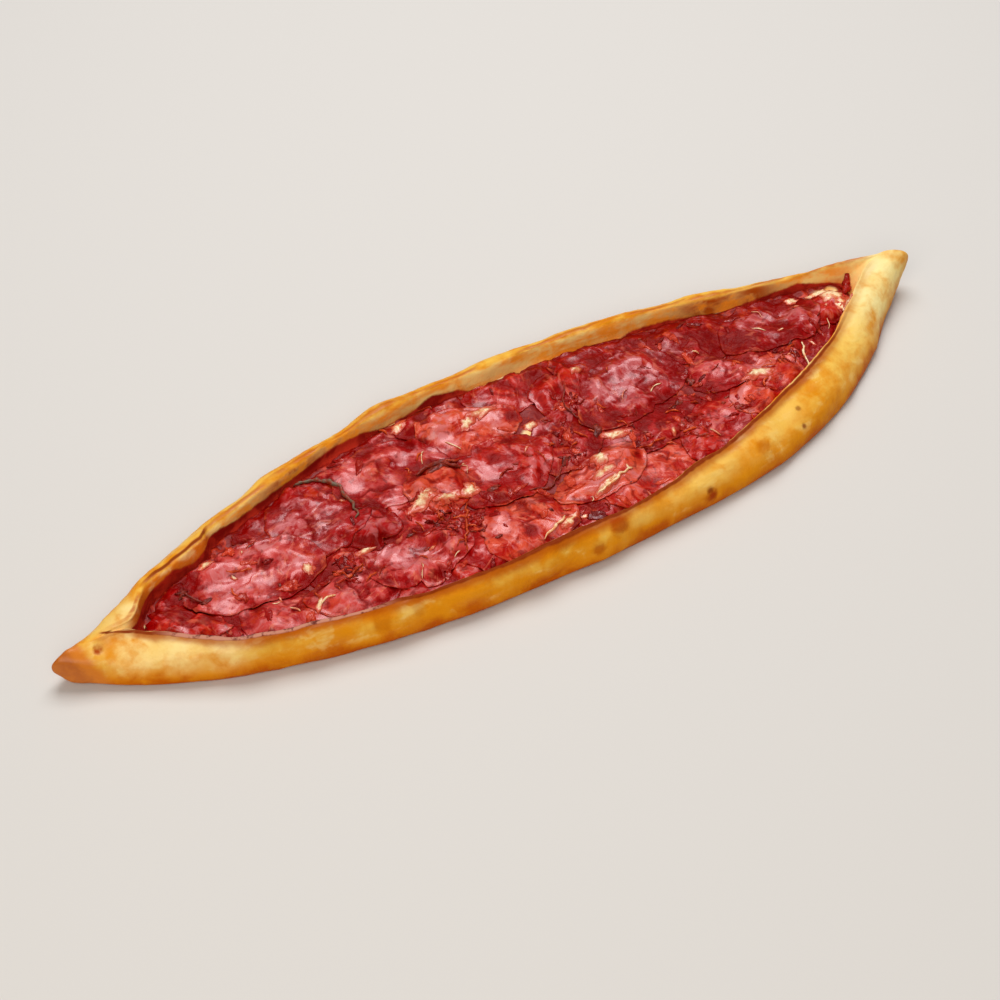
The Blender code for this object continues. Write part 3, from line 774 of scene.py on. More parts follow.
wall_gap = rim_at(cheese_points[:, 0], FAR_Y) - cheese_points[:, 1]
cream = np.maximum(cream, 0.8 * smooth_step(wall_gap, 5.0, 2.0))
write_field(cheese, "cream", cream)


def melt_cheese():
    tinted = (1.0, 0.55, 0.5, 1.0)
    melted = Finish("melted_cheese", Coat_Roughness=0.3, Specular_IOR_Level=0.2, Specular_Tint=tinted)
    where = melted.place()
    clouds = melted.noise(where, 0.009, 4.0, 0.6)
    oil = melted.noise(where, 0.004, 3.0, 0.6, 0.5)
    melted.start(tint(126, 4, 0), tint(196, 52, 18), oil.ramp(0.48, 0.72))
    creamy = melted.mix(tint(240, 184, 104), tint(250, 226, 172), clouds.ramp(0.35, 0.6))
    melted.coat(creamy, (melted.field("cream") + clouds.swing(0.6)).ramp(0.35, 0.75))
    return melted.wear(
        Roughness=oil * 0.3 + 0.3,
        Coat_Weight=clouds * 0.35,
        Normal=melted.bump(oil + clouds, 0.0008),
    )


cheese.data.materials.append(melt_cheese())
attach(cheese, "root")
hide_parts("cheese_bed")
print("cheese points:", len(cheese_points))

# %% [markdown]
# ## Laying the slices
# Thin slices take the shape of what they lie on. A cloth simulation of 39 sheets would be slow
# and hard to steer. Instead a height map remembers the top of what has been laid so far, as
# cells of a fine grid. Each slice keeps its solid's height, gets its own buckles and creases,
# comes down on the map along its edge, and is then added to the map for the next one.


# %% The ground under the next slice
class Ground:
    """The top of the food laid so far, in millimetres."""

    CELL = 0.6

    def __init__(self, tree):
        self.x = np.arange(LOW[0], HIGH[0], self.CELL)
        self.y = np.arange(LOW[1], HIGH[1], self.CELL)
        self.z = np.zeros((len(self.x), len(self.y)))
        self.rest_on(tree)

    def rest_on(self, tree):
        """Takes in another surface where it stands higher than the food."""
        rows = [[drop(tree, x, y) or 0.0 for y in self.y[::2]] for x in self.x[::2]]
        full = np.repeat(np.repeat(np.array(rows), 2, axis=0), 2, axis=1)
        self.z = np.maximum(self.z, full[: len(self.x), : len(self.y)])

    def cells(self, x, y):
        i = np.clip((x - self.x[0]) / self.CELL, 0, len(self.x) - 2)
        j = np.clip((y - self.y[0]) / self.CELL, 0, len(self.y) - 2)
        return i, j

    def under(self, x, y):
        """The highest cell round each point."""
        i, j = (n.astype(int) for n in self.cells(x, y))
        low = np.maximum(self.z[i, j], self.z[i + 1, j])
        return np.maximum(low, np.maximum(self.z[i, j + 1], self.z[i + 1, j + 1]))

    def softened(self, reach):
        """The same map averaged over reach cells each way, three times; bare cells don't count."""
        known = (self.z > 0.5).astype(float)
        total = self.z * known
        shifts = range(-reach, reach + 1)
        for axis in (0, 1) * 3:
            total = sum(np.roll(total, k, axis) for k in shifts)
            known = sum(np.roll(known, k, axis) for k in shifts)
        return total / np.maximum(known, 1e-9)

    def cover(self, rings):
        """Adds a slice's top: rings of points, each closed, from the middle outwards."""
        beside = np.roll(rings, -1, axis=1)
        for u in (0.0, 0.33, 0.67, 1.0):
            for v in (0.0, 0.33, 0.67):
                across = rings * (1.0 - v) + beside * v
                between = across[:-1] * (1.0 - u) + across[1:] * u
                x, y, z = between.reshape(-1, 3).T
                i, j = (np.rint(n).astype(int) for n in self.cells(x, y))
                np.maximum.at(self.z, (i, j), z)


ground = Ground(tree_of(cheese))
print("cells:", ground.z.shape)


# %% The plan and the height of a solid slice
def outline_reach(points, triangles, centre, bearings):
    """How far a flat piece reaches from its centre in each direction."""
    flat = points[:, :2] - centre
    ends = np.array([(t[k], t[(k + 1) % 3]) for t in triangles for k in range(3)])
    a = flat[ends[:, 0]]
    side = flat[ends[:, 1]] - a
    reach = []
    for bearing in bearings:
        d = np.array((math.cos(bearing), math.sin(bearing)))
        turn = side[:, 0] * d[1] - side[:, 1] * d[0]
        turn = np.where(np.abs(turn) < 1e-9, 1e-9, turn)
        t = -(a[:, 0] * d[1] - a[:, 1] * d[0]) / turn
        r = (a + t[:, None] * side) @ d
        met = (t >= 0.0) & (t <= 1.0) & (r > 0.0)
        reach.append(r[met].max() if met.any() else 1.0)
    return np.array(reach)


def blurred_top(points, triangles):
    """A solid slice's top as a soft height map: (x0, y0, heights), one cell per millimetre."""
    tree = BVHTree.FromPolygons([Vector(p) for p in points], triangles)
    low = np.floor(points.min(axis=0)) - 3.0
    high = np.ceil(points.max(axis=0)) + 3.0
    x_cells, y_cells = (np.arange(low[axis], high[axis]) for axis in (0, 1))
    z = np.array([[drop(tree, x, y) or np.nan for y in y_cells] for x in x_cells], float)
    while np.isnan(z).any():
        near = np.stack([np.roll(z, s, axis=a) for s in (-1, 1) for a in (0, 1)])
        known = ~np.isnan(near)
        total = np.where(known, near, 0.0).sum(axis=0)
        count = known.sum(axis=0)
        filled = np.where(count > 0, total / np.maximum(count, 1), np.nan)
        z = np.where(np.isnan(z), filled, z)
    for _ in range(4):
        padded = np.pad(z, 1, mode="edge")
        z = (padded[:-2, 1:-1] + padded[2:, 1:-1] + padded[1:-1, :-2] + padded[1:-1, 2:] + 2.0 * z) / 6.0
    return low, z


def read_map(low, z, x, y):
    """The height at each point, between four cells."""
    i = np.clip(x - low[0], 0.0, z.shape[0] - 1.001)
    j = np.clip(y - low[1], 0.0, z.shape[1] - 1.001)
    a, b = i.astype(int), j.astype(int)
    u, v = i - a, j - b
    near = z[a, b] * (1 - u) + z[a + 1, b] * u
    far = z[a, b + 1] * (1 - u) + z[a + 1, b + 1] * u
    return near * (1 - v) + far * v


# %% Creases, pleats and torn edges
EDGE_WAVES = ((1.4, 16.0, 0), (0.4, 5.0, 1), (0.2, 2.2, 2))        # height, wavelength, seed


def seen_along(plan, angle):
    """The places' distance along an axis at an angle, and off to its side."""
    return plan @ (math.cos(angle), math.sin(angle)), plan @ (-math.sin(angle), math.cos(angle))


def creases(local, reach, random, count):
    """A few soft ridges across a slice, each on its own bent line."""
    total = np.zeros(len(local))
    for _ in range(count):
        across, along = seen_along(local, random.uniform(0.0, math.pi))
        line = random.uniform(-0.7, 0.7) * reach + random.uniform(-0.02, 0.02) * along ** 2
        window = (along - random.uniform(-0.5, 0.5) * reach) / random.uniform(6.0, 16.0)
        ridge = np.exp(-((across - line) / random.uniform(1.0, 2.4)) ** 2 - window ** 2)
        total += random.uniform(0.4, 1.0) * ridge
    return total


def pleats(local, reach, random, count):
    """Edges where a slice doubles over itself: (height, how close to the foot of an edge)."""
    height = np.zeros(len(local))
    foot = np.zeros(len(local))
    for _ in range(count):
        across, along = seen_along(local, random.uniform(0.0, 2.0 * math.pi))
        line = random.uniform(-0.6, 0.5) * reach + random.uniform(-0.03, 0.03) * along ** 2
        line += 1.3 * ripples(along[:, None], 9.0, random.integers(10000))
        beyond = across - line
        window = np.exp(-((along - random.uniform(-0.5, 0.5) * reach) / random.uniform(6.0, 15.0)) ** 4)
        lift = random.uniform(0.6, 1.3) * window
        fall = np.exp(-np.clip(beyond, 0.0, None) / random.uniform(3.0, 8.0))
        height += lift * smooth_step(beyond, -0.8, 0.4) * fall
        foot = np.maximum(foot, window * np.exp(-((beyond + 1.0) / 0.9) ** 2))
    return height, foot


def torn_edge(bearings, random, seed):
    """How far the edge wanders in or out: long lobes, short teeth and a few tears."""
    wander = layered(unit_circle(bearings) * 10.0, EDGE_WAVES, seed)
    for _ in range(random.integers(0, 3)):
        apart = np.angle(np.exp(1j * (bearings - random.uniform(0.0, 2.0 * math.pi))))
        wander -= random.uniform(1.0, 3.5) * np.exp(-(apart / random.uniform(0.06, 0.14)) ** 2)
    return wander


# %% One slice
STEP = 1.0                 # spacing of a slice's points
THICK = 1.0                # a slice in the middle
THIN = 0.3                 # and at its edge
SPREAD = 2.4               # a slice sags out past its solid by this much
WALL_CLEAR = 5.0           # but stops this far from the far rim's crest, at the foot of the wall
SINK = 0.2                 # its top starts this far under its solid's
LAP = 0.05                 # and its edge comes down to this far above its own thickness
LIP_DROP = 0.25            # the round edge hangs this far under the top
LIP_OUT = 0.004            # and stands out by this share of its distance from the middle
UNDERSIDE = (1.0, 0.9, 0.72, 0.45)     # rings of the plain underside, as shares of the reach
SLICE_WAVES = ((0.55, 24.0, 400), (0.22, 11.0, 500), (0.06, 5.0, 550))     # height, wavelength, seed
GRAIN_TURN = 0.7           # each slice's fibres are turned on from the last one's, in radians
GRAIN_SHIFT = 37.0         # and are cut from another part of the meat


def slice_plan(centre, size, points, triangles, random, index):
    """Rings of points on the plan, from the middle outwards, within the room at the far wall."""
    turns = int(2.0 * math.pi * math.sqrt(0.5 * (size ** 2).sum()) / STEP)
    bearings = full_turn(turns)
    reach = outline_reach(points, triangles, centre, bearings)
    reach = reach + SPREAD + torn_edge(bearings, random, 200 + 7 * index)
    across = unit_circle(bearings)
    ends = across * reach[:, None]
    room = rim_at(centre[0] + ends[:, 0], FAR_Y) - WALL_CLEAR - centre[1]
    room = room + 0.6 * ripples(ends, 9.0, 300 + index)
    shortened = np.clip(room / np.maximum(ends[:, 1], 0.1), 0.3, 1.0)
    reach *= np.where(ends[:, 1] > room, shortened, 1.0)
    rings = max(int(size.max() / STEP), 6)
    shares = np.linspace(0.0, 1.0, rings + 1)[1:]
    return bearings, shares, centre + (shares[:, None] * reach)[:, :, None] * across


def slice_relief(local, size, bearings, share, random, index):
    """Swells, creases, pleats and a ruffled edge: (height, how close to the foot of a pleat)."""
    fold = layered(local, SLICE_WAVES, index)
    fold += 0.6 * creases(local, size, random, 1 + int(size / 10.0))
    pleat, foot = pleats(local, size, random, 1 + int(size / 7.0))
    fold += 0.7 * pleat
    wander = ripples(local, 18.0, 600 + index) * 2.0
    ruffle = np.sin(bearings * random.integers(6, 10) + wander)
    fold += (0.1 + 0.25 * np.clip(ripples(local, 30.0, 650 + index), 0.0, 1.0)) * ruffle * share ** 4
    return fold, foot


def lay_slice(name, index):
    """A fine slice in the place of its solid."""
    random = np.random.default_rng(100 + index)
    points, triangles, _ = welded(name)
    centre = points[:, :2].mean(axis=0)
    low, soft_top = blurred_top(points, triangles)
    size = 0.5 * (points.max(axis=0) - points.min(axis=0))[:2]
    bearings, shares, plan = slice_plan(centre, size, points, triangles, random, index)
    rings, turns = plan.shape[:2]
    x, y = plan.reshape(-1, 2).T
    local = plan.reshape(-1, 2) - centre
    share = np.repeat(shares, turns)
    fold, foot = slice_relief(local, size.max(), np.tile(bearings, rings), share, random, index)
    z = read_map(low, soft_top, x, y) + fold - SINK
    below = ground.under(x, y)
    settle = smooth_step(share, 0.55, 0.92) * smooth_step(z - below, 9.0, 5.0)
    z = z + (below + THIN + LAP - z) * settle * 0.95
    z = np.maximum(z, below + THIN)
    top = np.column_stack([x, y, z]).reshape(rings, turns, 3)
    ground.cover(top)
    piece, plan = assemble_slice(name, centre, top)
    extra = len(plan) - 1 - len(local)
    for field, values, rest in (("edge", share, 1.0), ("fold", fold, 0.0), ("foot", foot, 0.0)):
        write_field(piece, field, np.concatenate([values[:1], values, np.full(extra, rest)]))
    turned = index * GRAIN_TURN
    turn = np.array(((math.cos(turned), -math.sin(turned)), (math.sin(turned), math.cos(turned))))
    shift = np.full(len(plan), index * GRAIN_SHIFT)
    write_field(piece, "grain", np.column_stack([plan @ turn, shift]) * MM)
    return piece


def assemble_slice(name, centre, top):
    """Top, a round edge and a plain underside as one closed mesh, with its plan round the middle."""
    rings, turns, _ = top.shape
    middle = np.array([(*centre, top[0, :, 2].mean())])
    lips = top[-1] - (0.0, 0.0, LIP_DROP)
    lips[:, :2] += (lips[:, :2] - centre) * LIP_OUT
    under = []
    for part in UNDERSIDE:
        ring = top[min(int(round(part * rings)), rings) - 1].copy()
        ring[:, 2] -= THIN if part == 1.0 else THICK
        under.append(ring)
    points = np.vstack([middle, top.reshape(-1, 3), lips, *under, middle - (0.0, 0.0, THICK)])
    total_rings = rings + 1 + len(UNDERSIDE)
    last = len(points) - 1
    faces = [(0, 1 + k, 1 + (k + 1) % turns) for k in range(turns)]
    for r in range(total_rings - 1):
        a = 1 + r * turns
        for k in range(turns):
            n = (k + 1) % turns
            faces.append((a + k, a + turns + k, a + turns + n, a + n))
    a = 1 + (total_rings - 1) * turns
    faces += [(last, a + (k + 1) % turns, a + k) for k in range(turns)]
    return new_piece(name + "_beef", points, faces), points[:, :2] - centre


# %% [markdown]
# ## The colour of cured beef
# The slices run from deep crimson to salmon and pink, glossy with fat. Each has fine fibres,
# pale marbling, paler ridges where the fat has risen and a darker dry edge. The ridges are also
# painted paler as light and the hollows darker as painted shade, and painted highlights and gleams
# stand for light on the wet fat. One recipe makes all four tones from a dark and a light colour.


# %% The finish of beef
class Beef(Finish):
    """Cured beef, described in the order in which its colours lie on each other."""

    def __init__(self, name, marbling):
        tinted = (1.0, 0.5, 0.45, 1.0)
        super().__init__(name, Coat_Roughness=0.26, Specular_IOR_Level=0.15, Specular_Tint=tinted)
        self.marbling = marbling
        self.where = self.place()
        grain = self.field("grain", "Vector")
        self.fold = self.field("fold")
        self.hollow = self.field("hollow")
        self.pools = self.noise(self.where, 0.022, 3.0, 0.55, 0.6)
        self.clouds = self.noise(grain, 0.012, 4.0, 0.6, 0.8)
        self.blotches = self.noise(grain, 0.006, 4.0, 0.65, 1.2)
        self.flecks = self.noise(self.where, 0.0022, 3.0, 0.6)
        self.fibres = self.noise(self.stretched(grain, (0.16, 1.0, 1.0)), 0.0018, 3.0, 0.6, 0.4)
        self.veins = self.noise(self.stretched(grain, (0.35, 1.0, 1.0)), 0.005, 4.0, 0.65, 1.6)
        self.gleams = self.noise(self.stretched(grain, (0.6, 1.0, 1.0)), 0.0042, 2.0, 0.6, 0.8)
        self.tone_and_light = self.field("tone_and_light") * (self.clouds * 0.8 + 0.7)

    def flesh(self, dark, light):
        lightness = self.clouds + self.pools.swing(0.7) + self.blotches.swing(1.0)
        lightness = lightness + self.fibres.swing(0.2)
        # Painted light and shade: lighter on ridges and at the lit places, darker in hollows.
        lightness = lightness + self.fold * 0.08 - self.hollow * 0.12 + self.tone_and_light * 0.3
        self.start(dark, light, lightness.ramp(0.28, 0.74))

    def fat(self):
        """White veins and a haze of fat, painted highlights and gleams for light on the wet fat, and orange
        oil.
        """
        fold, tone_and_light, blotches, flecks = self.fold, self.tone_and_light, self.blotches, self.flecks
        veined = (self.veins + fold * 0.05 + flecks.swing(0.1)).ramp(0.56, 0.7)
        self.coat(tint(228, 118, 88), veined * self.marbling)
        # A haze of fat with painted sheen, strongest at the painted highlights and kept out of the painted
        # shade.
        fat_haze_and_sheen = (blotches + self.pools.swing(0.5) + fold * 0.04 + tone_and_light * 0.15).ramp(0.54, 0.68)
        fat_haze_and_sheen = fat_haze_and_sheen * (1.0 - (self.hollow - tone_and_light).ramp(0.0, 1.0))
        self.coat(tint(214, 118, 116), fat_haze_and_sheen * self.marbling * 0.6)
        # Painted highlight: pale lavender where light catches the wet slices.
        painted_highlight = (self.field("tone_and_light") + blotches.swing(2.4) + fold * 0.1).ramp(0.5, 1.2)
        self.coat(tint(222, 140, 142), painted_highlight * 0.55)
        # Painted highlight: small gleams along the grain.
        painted_gleam = (self.gleams + fold * 0.03 + tone_and_light * 0.12 - self.hollow * 0.05).ramp(0.56, 0.7)
        self.coat(tint(222, 134, 134), painted_gleam * 0.37)
        oil = (self.noise(self.where, 0.014, 4.0, 0.65, 0.8) + flecks.swing(0.3)).ramp(0.56, 0.68)
        self.coat(tint(204, 62, 14), oil * 0.45)

    def shade_in_hollows(self):
        """Painted shade in crimson where a slice sinks, at the foot of a pleat and in small dents. Gives the
        first two.
        """
        painted_shade = self.hollow + self.blotches.swing(1.8) + self.field("foot") * 1.4 - self.tone_and_light * 2.2
        painted_shade = painted_shade.ramp(0.3, 2.0)
        # Painted shade in the hollows and at the foot of each pleat.
        self.coat(tint(126, 0, 0), painted_shade * 0.75)
        dent_shade = self.noise(self.where, 0.0046, 2.0, 0.6, 0.6) + self.hollow * 0.04 - self.tone_and_light * 0.12
        # Painted shade in small dents.
        self.coat(tint(112, 0, 0), dent_shade.ramp(0.52, 0.68) * 0.62)
        return painted_shade

    def dry_edge(self):
        """A darker, drier edge here and there, and fine dark flecks."""
        dry = (self.field("edge") + self.clouds.swing(0.4)).ramp(0.94, 1.03)
        dry = dry * self.blotches.ramp(0.35, 0.55)
        dry_colour = self.mix(tint(98, 12, 6), tint(206, 84, 34), self.veins.ramp(0.45, 0.62))
        self.coat(dry_colour, dry * self.pools.ramp(0.4, 0.6) * 0.7)
        self.coat(tint(112, 10, 6), self.flecks.ramp(0.62, 0.74) * 0.25)


def cure_beef(name, dark, light, marbling):
    beef = Beef(name, marbling)
    beef.flesh(dark, light)
    beef.fat()
    painted_shade = beef.shade_in_hollows()
    beef.dry_edge()
    wet = beef.clouds * 0.6 + beef.blotches - painted_shade * 0.5 + beef.tone_and_light * 0.5
    relief = beef.fibres * 0.2 + beef.veins * 0.4 + beef.blotches * 1.1 + beef.gleams * 0.8
    return beef.wear(
        Roughness=beef.fibres * 0.2 + 0.25,
        Coat_Weight=wet.ramp(0.68, 1.0),
        Normal=beef.bump(relief, 0.0006),
    )


# %% Where the filling is dark or light
DARK_AND_SHADE_PLACES = (            # along, across, radius: where the meat dried dark, and painted shade where the filling sinks
    (-170.0, 4.0, 7.0),
    (-167.0, 11.0, 4.0),
    (-161.0, -6.0, 5.0),
    (-158.0, 17.0, 7.0),
    (-157.0, 3.0, 6.0),
    (-140.0, -14.0, 4.0),
    (-131.0, 32.0, 8.0),
    (-127.0, 10.0, 4.0),
    (-108.0, 32.0, 5.0),
    (-108.0, -9.0, 8.0),
    (-97.0, 18.0, 4.0),
    (-97.0, 42.0, 5.0),
    (-106.0, -19.0, 4.0),
    (-89.0, -31.0, 5.0),
    (-81.0, -38.0, 4.0),
    (-80.0, -5.0, 3.0),
    (-77.0, 45.0, 6.0),
    (-71.0, 11.0, 6.0),
    (-70.0, -37.0, 4.0),
    (-63.0, -11.0, 4.0),
    (-62.0, 17.0, 4.0),
    (-56.0, -21.0, 4.0),
    (-56.0, 32.0, 4.0),
    (-56.0, 42.0, 5.0),
    (-45.0, 12.0, 6.0),
    (-36.0, 36.0, 4.0),
    (-34.0, 12.0, 9.0),
    (-33.0, 22.0, 4.0),
    (-24.0, 47.0, 6.0),
    (-22.0, -13.0, 5.0),
    (-22.0, -38.0, 4.0),
    (-15.0, -20.0, 4.0),
    (-11.0, 9.0, 4.0),
    (-8.0, -27.0, 5.0),
    (-8.0, 35.0, 4.0),
    (-4.0, -43.0, 3.0),
    (1.0, 12.0, 4.0),
    (9.0, -40.0, 4.0),
    (12.0, 28.0, 4.0),
    (19.0, 46.0, 5.0),
    (34.0, 47.0, 7.0),
    (41.0, 35.0, 4.0),
    (32.0, -7.0, 4.0),
    (37.0, 4.0, 6.0),
    (43.0, -25.0, 5.0),
    (48.0, 39.0, 4.0),
    (50.0, 2.0, 5.0),
    (57.0, -8.0, 6.0),
    (64.0, -16.0, 4.0),
    (64.0, 36.0, 4.0),
    (76.0, -4.0, 6.0),
    (79.0, -22.0, 4.0),
    (85.0, 40.0, 5.0),
    (94.0, -10.0, 7.0),
    (98.0, 38.0, 6.0),
    (107.0, -26.0, 4.0),
    (110.0, 7.0, 4.0),
    (114.0, 19.0, 8.0),
    (127.0, 9.0, 9.0),
    (133.0, -18.0, 4.0),
    (134.0, 30.0, 7.0),
    (149.0, -1.0, 4.0),
    (158.0, 19.0, 7.0),
    (165.0, 8.0, 4.0),
    (173.0, 21.0, 6.0),
)
FAT_AND_HIGHLIGHT_PLACES = (            # along, across, radius: where fat shows, and a painted highlight where light catches the glaze
    (-172.0, -5.0, 3.0),
    (-153.0, 1.0, 7.0),
    (-144.0, 9.0, 8.0),
    (-128.0, 20.0, 4.0),
    (-132.0, 3.0, 5.0),
    (-121.0, 18.0, 5.0),
    (-119.0, -34.0, 4.0),
    (-113.0, 1.0, 5.0),
    (-107.0, 25.0, 6.0),
    (-95.0, 14.0, 7.0),
    (-88.0, -40.0, 4.0),
    (-80.0, -13.0, 5.0),
    (-76.0, -22.0, 6.0),
    (-72.0, -42.0, 5.0),
    (-70.0, 28.0, 3.0),
    (-66.0, -24.0, 4.0),
    (-62.0, 10.0, 5.0),
    (-44.0, 30.0, 3.0),
    (-38.0, 4.0, 4.0),
    (-30.0, 25.0, 4.0),
    (-30.0, -30.0, 5.0),
    (-22.0, 12.0, 4.0),
    (-22.0, 31.0, 4.0),
    (-17.0, 41.0, 5.0),
    (-14.0, 4.0, 5.0),
    (-12.0, -43.0, 5.0),
    (-6.0, 35.0, 6.0),
    (4.0, 30.0, 6.0),
    (18.0, 15.0, 5.0),
    (20.0, -34.0, 8.0),
    (26.0, 29.0, 4.0),
    (42.0, -13.0, 4.0),
    (46.0, -28.0, 3.0),
    (57.0, 13.0, 5.0),
    (59.0, 5.0, 4.0),
    (68.0, 20.0, 8.0),
    (101.0, -20.0, 6.0),
    (123.0, -11.0, 5.0),
    (134.0, -11.0, 4.0),
    (136.0, 17.0, 5.0),
    (152.0, 17.0, 4.0),
    (158.0, 13.0, 5.0),
    (182.0, 4.0, 5.0),
)
print("dark places:", len(DARK_AND_SHADE_PLACES), "light places:", len(FAT_AND_HIGHLIGHT_PLACES))

# %% Four tones, and the slices laid one after the other
BEEF = {
    "slice_deep": cure_beef("beef_deep", tint(134, 0, 0), tint(174, 16, 14), 0.4),
    "slice_red": cure_beef("beef_red", tint(152, 0, 0), tint(196, 34, 18), 0.45),
    "slice_salmon": cure_beef("beef_salmon", tint(172, 12, 2), tint(218, 76, 46), 0.6),
    "slice_pink": cure_beef("beef_pink", tint(156, 4, 6), tint(206, 70, 64), 0.65),
}
SLOT_OF = {row["node"]: row["material_slot"] for row in frame["record"]["subparts"]}
slice_names = sorted(n for n in NODES if n.startswith("slice_"))
slices = [lay_slice(node, number) for number, node in enumerate(slice_names, start=1)]
soft_ground = ground.softened(9)
ground.rest_on(tree_of(crust))
for laid, node in zip(slices, slice_names):
    at = read_points(laid)
    i, j = (np.rint(n).astype(int) for n in ground.cells(at[:, 0], at[:, 1]))
    # How far each point lies under the softened top; the finish paints shade from it.
    write_field(laid, "hollow", soft_ground[i, j] - at[:, 2])
    # Lighter and darker places: fat and dark meat, with painted highlight and shade.
    write_field(laid, "tone_and_light", nearness(at, FAT_AND_HIGHLIGHT_PLACES) - nearness(at, DARK_AND_SHADE_PLACES))
    laid.data.materials.append(BEEF[SLOT_OF[node]])
    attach(laid, "root")
    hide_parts(node)
print("slices laid:", len(slice_names), "highest:", round(float(ground.z.max()), 1), "mm")

# %% [markdown]
# ## Small things on top
# What makes the filling look real is small: cheese that bubbled up between the slices, pale and
# orange strands of fat and pepper, torn scraps of beef, dark rind of spice paste along some
# edges, and bits that the oven charred. Each kind is one mesh that gathers many small closed
# shapes, every one laid on the height map so that nothing floats.


# %% Gathering small shapes
class Gathering:
    """Many small closed meshes that become one piece."""

    def __init__(self):
        self.points = []
        self.faces = []
        self.tones = []
        self.middles = []
        self.total = 0

    def add(self, rings, tone, middle=None):
        """Closed rings of points from one end to the other, capped at both ends."""
        count, turns, _ = rings.shape
        first = self.total
        caps = np.array([rings[0].mean(axis=0), rings[-1].mean(axis=0)])
        self.points.append(np.vstack([rings.reshape(-1, 3), caps]))
        self.total += count * turns + 2
        self.tones.append(np.full(count * turns + 2, tone))
        inward = np.linspace(0.0, 1.0, count) if middle is None else np.full(count, middle)
        self.middles.append(np.concatenate([np.repeat(inward, turns), (inward[0], inward[-1])]))
        start = first + count * turns
        last = first + (count - 1) * turns
        for k in range(turns):
            n = (k + 1) % turns
            self.faces.append((start, first + n, first + k))
            self.faces.append((start + 1, last + k, last + n))
            for r in range(count - 1):
                a = first + r * turns
                self.faces.append((a + k, a + n, a + turns + n, a + turns + k))

    def piece(self, name, material, slot):
        made = new_piece(name, np.vstack(self.points), self.faces)
        write_field(made, "tone", np.concatenate(self.tones))
        write_field(made, "middle", np.concatenate(self.middles))
        made.data.materials.append(material)
        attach(made, "root")
        print(name, len(made.data.polygons), "faces")
        return made


FLAKE_CLEAR = 0.08         # a flake's edge stands this far above what it lies on
FLAKE_ROOT = 0.5           # and its base reaches this far under, so nothing floats
STRAND_STEP = 0.8          # from one ring of a strand to the next
STRAND_WANDER = 0.5


def flake(centre, half_long, half_wide, turn, height, seed, fullness=2.0):
    """A small flat pad that follows what it lies on. Rings run from its base up to its middle."""
    turns = int(12 + 3.0 * half_long)
    rings = int(3 + half_long)
    circle = unit_circle(full_turn(turns))
    wobble = 1.0 + 0.25 * ripples(circle * 10.0, 22.0, seed) + 0.2 * ripples(circle * 10.0, 7.0, seed + 1)
    wobble = np.maximum(wobble, 0.35)
    angle = math.radians(turn)
    spin = np.array(((math.cos(angle), math.sin(angle)), (-math.sin(angle), math.cos(angle))))
    layers = []
    for r in range(1, rings + 2):
        share = min(r / rings, 1.0)
        plan = (circle * wobble[:, None] * share * (half_long, half_wide)) @ spin + centre
        low = ground.under(plan[:, 0], plan[:, 1])
        lump = 1.0 + 0.4 * ripples(plan, 3.0, seed + 2)
        top = FLAKE_CLEAR + height * (1.0 - share ** fullness) * lump
        z = low - FLAKE_ROOT if r > rings else low + top
        layers.append(np.column_stack([plan, z]))
    return np.array(layers)[::-1]


def strand(path, radius, lift, seed, flat=1.0, sides=7):
    """A thin tube over points on the plan; its middle rises by lift."""
    path = np.array(path, float)
    length = np.linalg.norm(np.diff(path, axis=0), axis=1).sum()
    count = max(int(length / STRAND_STEP), 6)
    t = np.linspace(0.0, 1.0, count)
    knots = np.linspace(0.0, 1.0, len(path))
    plan = np.column_stack([np.interp(t, knots, path[:, 0]), np.interp(t, knots, path[:, 1])])
    for _ in range(4):
        plan[1:-1] = (plan[:-2] + 2.0 * plan[1:-1] + plan[2:]) / 4.0
    plan[:, 0] += STRAND_WANDER * ripples(plan, 6.0, seed)
    plan[:, 1] += STRAND_WANDER * ripples(plan, 6.0, seed + 1)
    thick = radius * np.sqrt(np.clip(np.sin(math.pi * (0.06 + 0.88 * t)), 0.0, 1.0))
    thick *= 1.0 + 0.3 * ripples(plan, 3.0, seed + 2)
    z = ground.under(plan[:, 0], plan[:, 1])
    for _ in range(3):
        z[1:-1] = np.maximum(z[1:-1], 0.5 * (z[:-2] + z[2:]))
    z = z + 0.6 * thick + lift * np.sin(math.pi * t)
    ahead = np.gradient(plan, axis=0)
    ahead /= np.linalg.norm(ahead, axis=1)[:, None]
    side = np.column_stack([-ahead[:, 1], ahead[:, 0]])
    rings = []
    for k in range(sides):
        angle = 2.0 * math.pi * k / sides
        out = side * (thick * flat * math.cos(angle))[:, None]
        rings.append(np.column_stack([plan + out, z + thick * math.sin(angle)]))
    return np.array(rings).transpose(1, 0, 2)


STREWN_SPAN = (-172.0, 178.0)      # small things lie along this stretch
HEAP_MARGINS = (5.0, 6.0)          # and heaps keep this far from the near and the far rim


def strewn(count, seed, margin=8.0):
    """Random places all over the filling, clear of the rim, with the generator that drew them."""
    random = np.random.default_rng(seed)
    made = 0
    while made < count:
        x = random.uniform(*STREWN_SPAN)
        near, far = rim_at(x, NEAR_Y), rim_at(x, FAR_Y)
        y = random.uniform(near, far)
        if near + margin < y < far - margin:
            made += 1
            yield x, y, random


def clustered(clusters, seed):
    """Random places in round heaps given as (along, across, spread, count)."""
    random = np.random.default_rng(seed)
    for along, across, spread, count in clusters:
        for _ in range(count):
            x, y = random.normal((along, across), 0.5 * spread)
            if rim_at(x, NEAR_Y) + HEAP_MARGINS[0] < y < rim_at(x, FAR_Y) - HEAP_MARGINS[1]:
                yield x, y, random


def fewer(clusters, part):
    """The same heaps with one in so many of their bits."""
    return [(along, across, spread, count // part) for along, across, spread, count in clusters]


